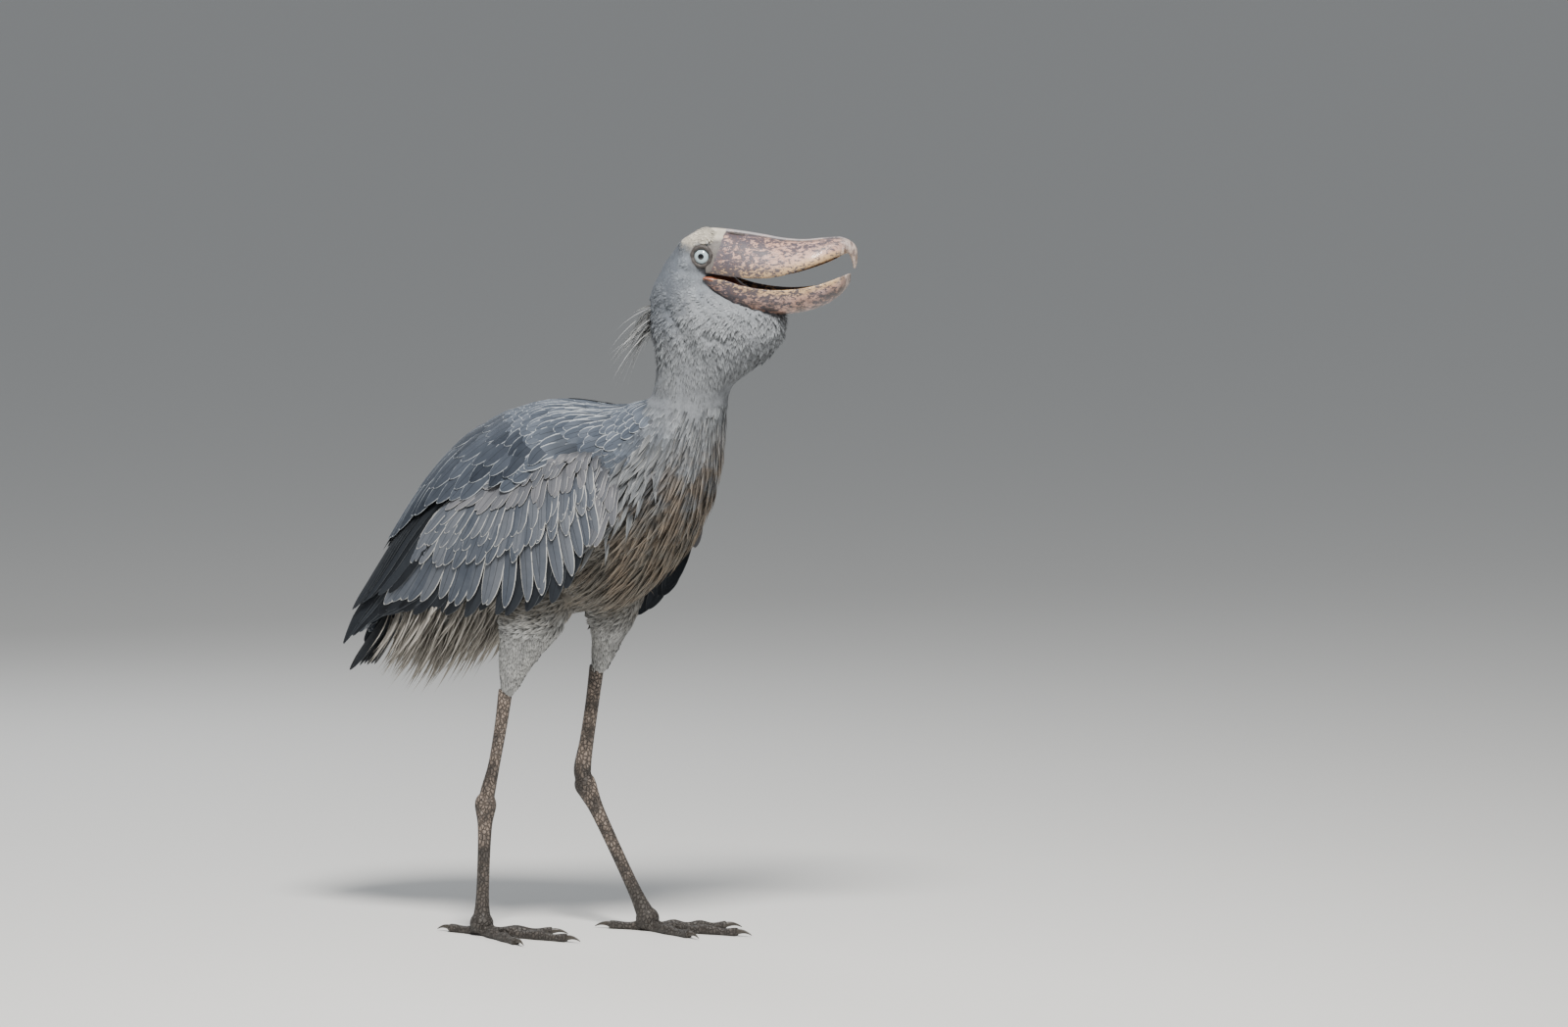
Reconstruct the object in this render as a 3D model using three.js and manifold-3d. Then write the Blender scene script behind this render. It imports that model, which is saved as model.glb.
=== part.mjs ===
// A life-size shoebill, a tall marsh bird with a massive hooked bill, in mid-stride with its bill a little open.
// Millimetres, +Z up, floor at Z = 0. The body faces +X and its right side faces -Y.
// The head is turned a little to the bird's left, and the left leg is a stride ahead of the right.

import * as THREE from "three";
import { mergeVertices } from "three/addons/utils/BufferGeometryUtils.js";
import Module from "manifold-3d";

const wasm = await Module();
wasm.setup();

// Clearance between neighbouring pieces.
const GAP = 0.3;
const VANE_THICK = 0.9;
const DEG = Math.PI / 180;
const SIDES = { right: -1, left: 1 };

// From the middle of the box round the whole bird to the point on the floor that the shapes below are drawn from.
const DRAWN_FROM = { x: 74.2, y: -3.9 };

const v3 = (x, y, z) => new THREE.Vector3(x, y, z);
const mix = (a, b, t) => a + (b - a) * t;

// A smooth curve through keyed rows [place, value, value...]: gives the values at any place.
function keyed(rows) {
  const places = rows.map((row) => row[0]);
  const slope = (i, k) => {
    const a = Math.max(0, i - 1);
    const b = Math.min(rows.length - 1, i + 1);
    return (rows[b][k] - rows[a][k]) / (places[b] - places[a]);
  };
  return (place) => {
    const last = rows.length - 2;
    let i = places.findIndex((p) => place < p) - 1;
    if (place >= places[last + 1]) i = last;
    i = Math.min(Math.max(i, 0), last);
    const span = places[i + 1] - places[i];
    const t = Math.min(Math.max((place - places[i]) / span, 0), 1);
    const over = place - Math.min(Math.max(place, places[0]), places[last + 1]);
    return rows[i].slice(1).map((_, n) => {
      const k = n + 1;
      const [p0, p1] = [rows[i][k], rows[i + 1][k]];
      const [m0, m1] = [slope(i, k) * span, slope(i + 1, k) * span];
      const t2 = t * t;
      const t3 = t2 * t;
      const value = (2 * t3 - 3 * t2 + 1) * p0 + (t3 - 2 * t2 + t) * m0 + (3 * t2 - 2 * t3) * p1 + (t3 - t2) * m1;
      return value + (over * (t < 0.5 ? m0 : m1)) / span;
    });
  };
}

// A closed skin over rings of equal count, with a fan at each end.
function loft(rings) {
  const count = rings[0].length;
  const points = rings.flat();
  const faces = [];
  for (let i = 0; i + 1 < rings.length; i++)
    for (let j = 0; j < count; j++) {
      const [a, b] = [i * count + j, i * count + ((j + 1) % count)];
      faces.push(a, b, b + count, a, b + count, a + count);
    }
  for (const [end, first] of [
    [rings[0], 0],
    [rings.at(-1), (rings.length - 1) * count],
  ]) {
    const middle = end.reduce((sum, p) => sum.add(p), v3(0, 0, 0)).divideScalar(count);
    points.push(middle);
    for (let j = 0; j < count; j++) {
      const [a, b] = [first + j, first + ((j + 1) % count)];
      if (first === 0) faces.push(b, a, points.length - 1);
      else faces.push(a, b, points.length - 1);
    }
  }
  return solid(shell(points, faces));
}

function shell(points, faces) {
  const geometry = new THREE.BufferGeometry().setFromPoints(points);
  geometry.setIndex(faces);
  return geometry;
}

// A closed geometry as a solid that can be joined and cut, turned to face out.
function solid(geometry, matrix) {
  const bare = geometry.clone();
  for (const name of ["normal", "uv"]) bare.deleteAttribute(name);
  if (matrix) bare.applyMatrix4(matrix);
  const merged = mergeVertices(bare, 1e-4);
  const position = merged.attributes.position;
  const index = merged.index.array;
  let volume = 0;
  const [a, b, c] = [v3(), v3(), v3()];
  for (let i = 0; i < index.length; i += 3) {
    a.fromBufferAttribute(position, index[i]);
    b.fromBufferAttribute(position, index[i + 1]);
    c.fromBufferAttribute(position, index[i + 2]);
    volume += a.dot(b.cross(c));
  }
  const triVerts = new Uint32Array(index);
  if (volume < 0)
    for (let i = 0; i < triVerts.length; i += 3) [triVerts[i + 1], triVerts[i + 2]] = [index[i + 2], index[i + 1]];
  return new wasm.Manifold(new wasm.Mesh({ numProp: 3, vertProperties: new Float32Array(position.array), triVerts }));
}

const at = ([x, y, z]) => new THREE.Matrix4().makeTranslation(x, y, z);
const join = (pieces) => wasm.Manifold.union(pieces);
const cut = (piece, ...tools) => piece.subtract(join(tools));

// Outlines of feathers: [place from root to tip, share of the half width].
const BLADE = [
  [0, 0.5],
  [0.3, 0.9],
  [0.62, 1],
  [0.86, 0.78],
  [1, 0.26],
];
const SCALE = [
  [0, 0.55],
  [0.5, 1],
  [0.84, 0.8],
  [1, 0.25],
];
const LANCE = [
  [0, 0.6],
  [0.45, 1],
  [1, 0.14],
];

// One feather: a thin tapered blade along a path, its two faces split alike and one edge tilted up.
// The path gives its middle at any place from root 0 to tip 1, raised by an amount.
function vane(path, outline, half, thick, tilt) {
  const points = [];
  for (const [place, share] of outline) {
    const middle = path(place, 0);
    const ahead = path(Math.min(place + 0.03, 1), 0).sub(path(Math.max(place - 0.03, 0), 0));
    const across = path(place, 1).sub(middle).cross(ahead).normalize();
    const out = ahead.cross(across).normalize();
    const wide = across.clone().applyAxisAngle(ahead.normalize(), tilt).multiplyScalar(half * share);
    const high = out.applyAxisAngle(ahead, tilt).multiplyScalar(thick / 2);
    for (const [w, h] of [
      [1, 1],
      [-1, 1],
      [-1, -1],
      [1, -1],
    ])
      points.push(middle.clone().addScaledVector(wide, w).addScaledVector(high, h));
  }
  const faces = [0, 3, 2, 0, 2, 1];
  const last = 4 * (outline.length - 1);
  for (let a = 0; a < last; a += 4) {
    const [b, c, d, e] = [a + 1, a + 2, a + 3, a + 4];
    faces.push(a, b, b + 4, a, b + 4, e, b, c, c + 4, b, c + 4, b + 4);
    faces.push(c, d, c + 4, d, d + 4, c + 4, d, a, e, d, e, d + 4);
  }
  faces.push(last, last + 1, last + 2, last, last + 2, last + 3);
  return solid(shell(points, faces));
}

// A row of feathers on a rounded surface, from a line of roots to a line of tips.
// Both lines are keyed as [place in the row, distance along the body, angle round it].
function featherRow(row, surface, side, grow = 0) {
  const [roots, tips] = [keyed(row.roots), keyed(row.tips)];
  return Array.from({ length: row.count }, (_, i) => {
    const u = i / (row.count - 1);
    const [along0, angle0] = roots(u);
    const [along1, angle1] = tips(u);
    const path = (s, raise) => {
      const rise = Math.sin((Math.PI / 2) * Math.min(1, s / row.rise));
      const lift = mix(row.sunk, row.lift, rise) + raise;
      return surface(mix(along0, along1, s), mix(angle0, angle1, s) * DEG, lift, side);
    };
    const half = mix(row.half[0], row.half[1], u) + grow;
    return vane(path, row.outline, half, VANE_THICK + 2 * grow, side * row.tilt * DEG);
  });
}

// The largest closed surface of a solid, as a named mesh.
function node(name, piece, material) {
  const whole = piece.decompose().reduce((best, body) => (body.volume() > best.volume() ? body : best));
  const { vertProperties, triVerts } = whole.getMesh();
  const geometry = new THREE.BufferGeometry();
  geometry.setAttribute("position", new THREE.BufferAttribute(vertProperties, 3));
  geometry.setIndex(new THREE.BufferAttribute(triVerts, 1));
  const mesh = new THREE.Mesh(geometry, material);
  mesh.name = name;
  return mesh;
}

const matte = (color, roughness = 0.85) => new THREE.MeshStandardMaterial({ color, roughness, metalness: 0 });
const finish = {
  plumage: matte(0x8f949a),
  wing: matte(0x757d87),
  tail: matte(0x45484d),
  bill: matte(0xbf9c86, 0.55),
  skin: matte(0x6a5c50, 0.7),
  claw: matte(0x2d2a28, 0.45),
  eye: matte(0xc9dadb, 0.1),
};

// Points on an ellipse, from the back round the left side to the front.
const ROUND = 18;
const turn = (count = ROUND) => Array.from({ length: count }, (_, j) => (2 * Math.PI * j) / count);

// Body: sections across a line that runs from the neck base down the back to the tail.
// Each row is [distance along, back x, back z, breast x, breast z, half width].
const bodySection = keyed([
  [0, 190, 858, 318, 858, 56],
  [90, 116, 838, 292, 730, 96],
  [150, 50, 838, 262, 662, 112],
  [300, -78, 800, 135, 535, 118],
  [460, -180, 722, -60, 494, 100],
  [590, -262, 620, -200, 474, 66],
  [665, -312, 548, -272, 462, 44],
  [720, -345, 500, -318, 438, 34],
  [760, -368, 455, -346, 415, 26],
]);
const BODY_END = 600;

// A point on the barrel of the body: angle 0 is the back, 90 the flank and 180 the breast.
function bodyPoint(along, angle, lift, side) {
  const [bx, bz, fx, fz, half] = bodySection(along);
  const depth = Math.hypot(fx - bx, fz - bz) / 2;
  const reach = -Math.cos(angle) * (depth + lift);
  const [dx, dz] = [(fx - bx) / (2 * depth), (fz - bz) / (2 * depth)];
  return v3((bx + fx) / 2 + dx * reach, side * Math.sin(angle) * (half + lift), (bz + fz) / 2 + dz * reach);
}

const BODY_STEPS = 13;
function bodySolid(lift) {
  const rings = [];
  for (let i = 0; i <= BODY_STEPS; i++) {
    const along = (BODY_END * i) / BODY_STEPS;
    rings.push(turn().map((angle) => bodyPoint(along, angle, lift, 1)));
  }
  return loft(rings);
}

// Head frame: t runs forward along the bill from the neck's axis, w to the bird's left, z up.
const NECK_X = 254;
const HEAD_YAW = 14 * DEG;
const NECK_BASE = 858;
const NECK_TOP = 912;

// Level sections of the neck and head: [height, back, front, half width], with the throat bulge under the bill.
const headSection = keyed([
  [858, -64, 64, 56],
  [880, -57, 74, 55],
  [902, -54, 97, 56],
  [925, -55, 128, 59],
  [949, -60, 149, 62],
  [974, -63, 156, 60],
  [994, -64, 150, 56],
  [1012, -64, 96, 53],
  [1030, -60, 58, 51],
  [1050, -50, 52, 49],
  [1079, -33, 52, 46],
  [1100, -13, 53, 39],
  [1114, 10, 54, 29],
  [1121, 26, 52, 17],
]);
const HEAD_TOP = 1123;

function headRing(height, yaw) {
  const [back, front, half] = headSection(height);
  const middle = (back + front) / 2;
  const reach = (front - back) / 2;
  return turn().map((angle) => {
    const point = v3(middle - Math.cos(angle) * reach, Math.sin(angle) * half, height);
    return point.applyAxisAngle(v3(0, 0, 1), yaw);
  });
}

function neckSolid() {
  const rings = [];
  const steps = 5;
  for (let i = 0; i <= steps; i++) {
    const share = i / steps;
    const height = mix(NECK_BASE + GAP, NECK_TOP - GAP / 2, share);
    rings.push(headRing(height, HEAD_YAW * share * share).map((p) => p.add(v3(NECK_X, 0, 0))));
  }
  return loft(rings);
}

// Bill: upright sections along t.
const BILL_BASE = { top: 53, bottom: 41, topZ: 1121, bottomZ: 1054 };
const BILL_END = 252;
// [t, culmen height, edge height, half width]
const upperSection = keyed([
  [38, 1125, 1056, 42],
  [64, 1123, 1052.5, 46],
  [90, 1120, 1050, 50],
  [120, 1115.5, 1049, 52],
  [150, 1110.5, 1051.5, 52],
  [185, 1108.5, 1061, 50],
  [212, 1111, 1070.5, 44],
  [232, 1113, 1079, 33],
  [244, 1113, 1085, 22],
  [BILL_END, 1110.5, 1087, 14],
]);

// Half of the arch across the upper bill: [share of half width, share of depth from the edge up].
const ARCH = [
  [0, 1],
  [0.1, 0.985],
  [0.15, 0.93],
  [0.4, 0.88],
  [0.72, 0.66],
  [0.96, 0.28],
  [1, 0.06],
  [0.94, 0],
];
const mirrored = (half) => [...half, ...half.slice(1).reverse().map(([w, z]) => [-w, z])];

function upperBillSolid(grow) {
  const rings = [];
  const steps = 13;
  const start = BILL_BASE.bottom - 6;
  for (let i = 0; i <= steps; i++) {
    const t = mix(start, BILL_END, i / steps);
    const [top, edge, half] = upperSection(t);
    rings.push(
      mirrored(ARCH).map(([w, z]) => v3(t, w * (half + grow), mix(edge - grow, top + grow, z))),
    );
  }
  const lean = v3(BILL_BASE.topZ - BILL_BASE.bottomZ, 0, BILL_BASE.bottom - BILL_BASE.top).normalize();
  const offset = lean.dot(v3(BILL_BASE.bottom - grow, 0, BILL_BASE.bottomZ));
  return loft(rings).trimByPlane(lean.toArray(), offset);
}

// The nail that ends the upper bill: [t, z, half width, half depth] down its curve.
const hookRow = keyed([
  [0, 222, 1101, 15, 9],
  [0.25, 244, 1102, 14, 10],
  [0.5, 259, 1095, 10.5, 9],
  [0.75, 264.5, 1082, 6.5, 5.5],
  [0.92, 265.5, 1070, 3.6, 3.2],
  [1, 265, 1064, 1.6, 1.6],
]);

function hookSolid() {
  const steps = 9;
  const rings = [];
  for (let i = 0; i <= steps; i++) {
    const [t, z, half, depth] = hookRow(i / steps);
    const [t0, z0] = hookRow(i / steps - 0.02);
    const [t1, z1] = hookRow(i / steps + 0.02);
    const across = v3(z1 - z0, 0, t0 - t1).normalize();
    rings.push(
      turn(10).map((angle) =>
        v3(t, 0, z)
          .addScaledVector(across, -Math.cos(angle) * depth)
          .add(v3(0, Math.sin(angle) * half, 0)),
      ),
    );
  }
  return loft(rings);
}

// The palate is a long hollow under the upper bill.
const BILL_WALL = 6;
function palateHollow() {
  const rings = [];
  const steps = 8;
  for (let i = 0; i <= steps; i++) {
    const t = mix(20, 226, i / steps);
    const [top, edge, half] = upperSection(Math.max(t, 38));
    const roof = mix(edge, top, 0.5 * Math.sin(Math.PI * mix(0.42, 0.92, i / steps)));
    const w = half - BILL_WALL;
    rings.push([
      v3(t, -w, edge - 30),
      v3(t, w, edge - 30),
      v3(t, w, mix(edge, roof, 0.25)),
      v3(t, w * 0.6, mix(edge, roof, 0.85)),
      v3(t, 0, roof),
      v3(t, -w * 0.6, mix(edge, roof, 0.85)),
      v3(t, -w, mix(edge, roof, 0.25)),
    ]);
  }
  return loft(rings);
}

const NOSTRIL = { t: 68, w: 7.5, z: 1114, length: 11, height: 1.4, depth: 5 };
function nostril(side) {
  const matrix = new THREE.Matrix4().compose(
    v3(NOSTRIL.t, side * NOSTRIL.w, NOSTRIL.z),
    new THREE.Quaternion().setFromEuler(new THREE.Euler(0, 2 * DEG, 0)),
    v3(NOSTRIL.length, NOSTRIL.depth, NOSTRIL.height),
  );
  return solid(new THREE.SphereGeometry(1, 8, 6), matrix);
}

// [t, edge height, keel height, half width]
const lowerSection = keyed([
  [26, 1048, 1043, 36],
  [45, 1047, 1022, 40],
  [65, 1045.5, 1006, 43],
  [94, 1037.5, 993, 46],
  [130, 1032, 989.5, 47.5],
  [165, 1031.5, 992.5, 46.5],
  [205, 1037, 1001.5, 41],
  [232, 1045, 1015, 32],
  [248, 1052, 1029, 21],
  [257, 1056, 1041, 11],
]);
const LOWER_START = 28;
const LOWER_END = 257;

function lowerBillSolid(grow) {
  const rings = [];
  const steps = 12;
  for (let i = 0; i <= steps; i++) {
    const t = mix(LOWER_START - grow, LOWER_END, i / steps);
    const [edge, keel, half] = lowerSection(t);
    const arc = [0, 0.14, 0.3, 0.5, 0.7, 0.86, 1].map((s) => {
      const angle = Math.PI * s;
      const w = Math.cos(angle) * (half + grow);
      return v3(t, w, edge - Math.pow(Math.sin(angle), 0.85) * (edge - keel + grow));
    });
    rings.push([v3(t, -(half + grow) * 0.9, edge + grow), v3(t, (half + grow) * 0.9, edge + grow), ...arc]);
  }
  return loft(rings);
}

// The trough between the two sides of the lower bill.
function troughHollow() {
  const rings = [];
  const steps = 8;
  for (let i = 0; i <= steps; i++) {
    const t = mix(44, 246, i / steps);
    const [edge, keel, half] = lowerSection(t);
    const w = half * 0.9 - BILL_WALL;
    const floor = Math.max(keel + 6, edge - 16);
    rings.push([
      v3(t, -w, edge + 20),
      v3(t, w, edge + 20),
      v3(t, w, mix(edge, floor, 0.4)),
      v3(t, w * 0.5, floor),
      v3(t, -w * 0.5, floor),
      v3(t, -w, mix(edge, floor, 0.4)),
    ]);
  }
  return loft(rings);
}

// The open mouth behind the bill's base, back to its corner.
const MOUTH = { from: 29, to: 62, z: 1048.5, half: 52, height: 7, above: 0.6 };
function mouthHollow() {
  const steps = 3;
  const rings = [];
  for (let i = 0; i <= steps; i++) {
    const t = mix(MOUTH.from, MOUTH.to, i / steps);
    const rise = MOUTH.height * mix(0.3, 1, i / steps);
    const [low, high] = [MOUTH.z - rise, MOUTH.z + rise * MOUTH.above];
    rings.push([v3(t, -MOUTH.half, low), v3(t, MOUTH.half, low), v3(t, MOUTH.half, high), v3(t, -MOUTH.half, high)]);
  }
  return loft(rings);
}

// Eyes sit in round sockets high on the sides of the head, each with a rim of bare lid.
const EYE = { t: 30, w: 34.5, z: 1081.5, radius: 13.5, lid: 12.6, lidThick: 2.3, lidOut: 6.5 };
function eyeBall(side, grow) {
  return solid(new THREE.SphereGeometry(EYE.radius + grow, 12, 8), at([EYE.t, side * EYE.w, EYE.z]));
}
function eyeLid(side) {
  const ring = new THREE.TorusGeometry(EYE.lid, EYE.lidThick, 5, 14).rotateX(90 * DEG);
  return solid(ring, at([EYE.t, side * (EYE.w + EYE.lidOut), EYE.z]));
}

function headSolid() {
  const rings = [];
  const steps = 15;
  for (let i = 0; i <= steps; i++) rings.push(headRing(mix(NECK_TOP + GAP / 2, HEAD_TOP, i / steps), 0));
  const lids = Object.values(SIDES).map(eyeLid);
  const sockets = Object.values(SIDES).map((side) => eyeBall(side, GAP));
  return cut(
    join([loft(rings), ...lids, ...crestStrands()]),
    upperBillSolid(GAP),
    lowerBillSolid(GAP),
    mouthHollow(),
    ...sockets,
  );
}

// Wing barrel: over the back it follows the body, and below the flank it hangs straight.
const HANG = 90 * DEG;
const DROOP = { right: 0, left: 17 * DEG };
const WING_START = 140;
const WING_END = 752;
function wingPoint(along, angle, lift, side) {
  const name = side < 0 ? "right" : "left";
  const sag = DROOP[name] * (1 - (0.75 * (along - WING_START)) / (WING_END - WING_START));
  const set = angle + sag;
  if (set <= HANG) return bodyPoint(along, set, lift, side);
  const [bx, bz, fx, fz, half] = bodySection(along);
  const depth = Math.hypot(fx - bx, fz - bz) / 2;
  const [dx, dz] = [(fx - bx) / (2 * depth), (fz - bz) / (2 * depth)];
  const past = set - HANG;
  const reach = 0.9 * past * depth;
  return v3((bx + fx) / 2 + dx * reach, side * (half + lift) * (1 - 0.1 * past * past), (bz + fz) / 2 + dz * reach);
}

// Upper and lower edge of the wing's arm, as angles round the body: [along, upper, lower].
const armEdges = keyed([
  [140, 86, 104],
  [170, 76, 114],
  [240, 68, 117],
  [330, 62, 116],
  [430, 56, 108],
  [520, 51, 96],
  [590, 50, 84],
]);
const ARM_END = 590;
const ARM_LIFT = { inner: -3, edge: 5, outer: 9 };

function armSolid(side) {
  const rings = [];
  const steps = 9;
  for (let i = 0; i <= steps; i++) {
    const along = mix(WING_START, ARM_END, i / steps);
    const [upper, lower] = armEdges(along);
    const across = [0, 0.25, 0.5, 0.75, 1];
    const bulge = Math.min(1, (i + 0.4) / 2) * Math.min(1, (steps - i + 0.5) / 3);
    const outer = across.map((s) => {
      const lift = mix(ARM_LIFT.edge, ARM_LIFT.outer, bulge * Math.sin(Math.PI * mix(0.1, 0.9, s)));
      return wingPoint(along, mix(upper, lower, s) * DEG, lift, side);
    });
    const inner = [1, 0.5, 0].map((s) => wingPoint(along, mix(upper, lower, s) * DEG, ARM_LIFT.inner, side));
    rings.push([...outer, ...inner]);
  }
  return loft(rings);
}

// Tiers of the folded wing, from the tip of the wing up to its small feathers.
const WING_ROWS = [
  // Primaries.
  {
    count: 6,
    roots: [
      [0, 525, 64],
      [1, 405, 108],
    ],
    tips: [
      [0, 764, 70],
      [0.5, 718, 92],
      [1, 648, 112],
    ],
    outline: BLADE,
    half: [14, 17],
    sunk: 3,
    lift: 6,
    rise: 0.8,
    tilt: -14,
  },
  // Secondaries.
  {
    count: 8,
    roots: [
      [0, 500, 82],
      [1, 215, 105],
    ],
    tips: [
      [0, 652, 104],
      [0.35, 545, 136],
      [0.7, 410, 147],
      [1, 290, 136],
    ],
    outline: SCALE,
    half: [20, 20],
    sunk: 3,
    lift: 9,
    rise: 0.3,
    tilt: -3,
  },
  // Greater coverts.
  {
    count: 8,
    roots: [
      [0, 485, 68],
      [1, 180, 92],
    ],
    tips: [
      [0, 610, 94],
      [0.3, 500, 124],
      [0.65, 365, 134],
      [1, 222, 122],
    ],
    outline: SCALE,
    half: [20, 20],
    sunk: 4,
    lift: 13,
    rise: 0.5,
    tilt: -8,
  },
  // Median coverts.
  {
    count: 7,
    roots: [
      [0, 430, 62],
      [1, 160, 84],
    ],
    tips: [
      [0, 540, 80],
      [0.4, 420, 104],
      [1, 196, 108],
    ],
    outline: SCALE,
    half: [20, 18],
    sunk: 5,
    lift: 17,
    rise: 0.8,
    tilt: -6,
  },
];

function wingFeathers(side) {
  return WING_ROWS.flatMap((row) => featherRow(row, wingPoint, side));
}

// Mantle and shoulder feathers, which lie from the back over the top of the wing.
const BACK_ROWS = [
  // Mantle.
  {
    count: 4,
    roots: [
      [0, 62, 12],
      [1, 100, 62],
    ],
    tips: [
      [0, 205, 13],
      [1, 200, 62],
    ],
    outline: SCALE,
    half: [24, 22],
    sunk: -4,
    lift: 16,
    rise: 0.5,
    tilt: 6,
  },
  // Upper shoulder feathers.
  {
    count: 4,
    roots: [
      [0, 160, 11],
      [1, 150, 58],
    ],
    tips: [
      [0, 330, 11],
      [1, 280, 60],
    ],
    outline: SCALE,
    half: [27, 24],
    sunk: -4,
    lift: 21,
    rise: 0.6,
    tilt: 10,
  },
  // Long shoulder feathers.
  {
    count: 5,
    roots: [
      [0, 300, 8],
      [1, 225, 50],
    ],
    tips: [
      [0, 640, 12],
      [0.5, 565, 42],
      [1, 370, 62],
    ],
    outline: SCALE,
    half: [20, 26],
    sunk: -4,
    lift: 21,
    rise: 0.5,
    tilt: 10,
  },
];

function backFeathers(side, grow) {
  return BACK_ROWS.flatMap((row) => featherRow(row, bodyPoint, side, grow));
}

// Long loose plumes that hang from the breast: [distance along the body, angles round it, length].
const BREAST_ROWS = [
  [24, [172, 144, 118], 84],
  [80, [160, 132], 92],
  [136, [173, 148, 126], 96],
  [192, [162, 138], 88],
  [250, [172], 84],
];
const PLUME = { half: 13, thick: 2.2, sunk: -6, lift: 11, tilt: 5 };
function breastPlumes(side, grow) {
  const plumes = [];
  for (const [along, angles, length] of BREAST_ROWS)
    for (const [k, angle] of angles.entries()) {
      const reach = length * (1 - 0.12 * (k % 2));
      const path = (s, raise) => {
        const rise = mix(PLUME.sunk, PLUME.lift, Math.sin((Math.PI / 2) * Math.min(1, s * 1.4)));
        return bodyPoint(along + reach * s, (angle + 3 * s) * DEG, rise + raise, side);
      };
      plumes.push(vane(path, LANCE, PLUME.half + grow, PLUME.thick + 2 * grow, side * PLUME.tilt * DEG));
    }
  return plumes;
}

// Fluffy plumes under the tail hang down and back: [distance along the body, angles round it, length].
const VENT_ROWS = [
  [440, [166, 134], 72],
  [494, [172, 142, 114], 86],
  [550, [164, 132], 96],
];
const VENT = { half: 16, thick: 3, sunk: 10, back: 0.42, down: 0.9, spread: 0.12 };
function ventPlumes(side, grow) {
  const plumes = [];
  for (const [along, angles, length] of VENT_ROWS)
    for (const angle of angles) {
      const root = bodyPoint(along, angle * DEG, -VENT.sunk, side);
      const outward = Math.sin(angle * DEG);
      const face = v3(-VENT.down * (1 - outward), side * outward, VENT.back * (1 - outward)).normalize();
      const path = (s, raise) => {
        const fall = s * (length + VENT.sunk);
        const swing = VENT.back * fall * (0.5 + 0.6 * s);
        const out = side * VENT.spread * fall * outward * (1 - 0.8 * s);
        return root.clone().add(v3(-swing, out, -VENT.down * fall)).addScaledVector(face, raise);
      };
      plumes.push(vane(path, LANCE, VENT.half + grow, VENT.thick + 2 * grow, 0));
    }
  return plumes;
}

// Tail: a short stump behind the body that carries a fan of broad feathers.
const TAIL = { end: 648, feathers: 12, length: 168, fan: 21, fall: 52, half: 13, sag: 8 };
function tailStump(grow) {
  const rings = [];
  const steps = 3;
  for (let i = 0; i <= steps; i++) {
    const share = i / steps;
    const along = mix(BODY_END + GAP, TAIL.end, share) + grow * share;
    rings.push(turn(14).map((angle) => bodyPoint(along, angle, grow - 20 * share * share, 1)));
  }
  return loft(rings);
}

function tailFeathers(grow) {
  const [bx, bz, fx, fz] = bodySection(BODY_END + 20);
  const root = v3(mix(bx, fx, 0.45), 0, mix(bz, fz, 0.45));
  return Array.from({ length: TAIL.feathers }, (_, i) => {
    const rank = (i - (TAIL.feathers - 1) / 2) / ((TAIL.feathers - 1) / 2);
    const yaw = rank * TAIL.fan * DEG;
    const length = TAIL.length * (1 - 0.08 * rank * rank);
    const below = 12 * Math.abs(rank);
    const path = (s, raise) => {
      const out = s * length;
      const down = out * Math.sin(TAIL.fall * DEG) + below + TAIL.sag * s * s * Math.abs(rank);
      const at = v3(-out * Math.cos(TAIL.fall * DEG) * Math.cos(yaw), out * Math.sin(yaw) + rank * 12, -down);
      const up = v3(-Math.sin(TAIL.fall * DEG), 0, Math.cos(TAIL.fall * DEG));
      return root.clone().add(at).addScaledVector(up, raise);
    };
    return vane(path, SCALE, TAIL.half + grow, VANE_THICK + 2 * grow, Math.sign(rank) * -4 * DEG);
  });
}

// Crest: a few loose strands that hang from the nape, as [start height, tip back, tip height, side shift].
const CREST = [
  [978, -128, 886, 4],
  [984, -104, 930, -6],
  [990, -100, 962, -2],
  [982, -86, 924, -12],
  [968, -80, 900, -3],
  [994, -86, 984, 7],
];
const STRAND = { root: -48, half: 3, thick: 1.6, bow: 0.35 };
function crestStrands() {
  return CREST.map(([z, backTip, zTip, shift]) => {
    const path = (s, raise) => {
      const fall = mix(s, s * s, STRAND.bow * 2);
      return v3(mix(STRAND.root, backTip, s) - raise, shift * (0.4 + 0.6 * s), mix(z, zTip, fall));
    };
    return vane(path, LANCE, STRAND.half, STRAND.thick, 0);
  });
}

// A tube of round or oval rings along a path; each row is [x, y, z, radius fore and aft, radius across].
function tube(rows, count = 12) {
  return loft(
    rows.map(([x, y, z, fore, across], i) => {
      const from = v3(...rows[Math.max(i - 1, 0)].slice(0, 3));
      const to = v3(...rows[Math.min(i + 1, rows.length - 1)].slice(0, 3));
      const ahead = to.sub(from).normalize();
      const lateral = v3(0, 1, 0).addScaledVector(ahead, -ahead.y).normalize();
      const forward = lateral.clone().cross(ahead);
      return turn(count).map((angle) =>
        v3(x, y, z)
          .addScaledVector(forward, Math.cos(angle) * fore)
          .addScaledVector(lateral, Math.sin(angle) * (across ?? fore)),
      );
    }),
  );
}

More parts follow.
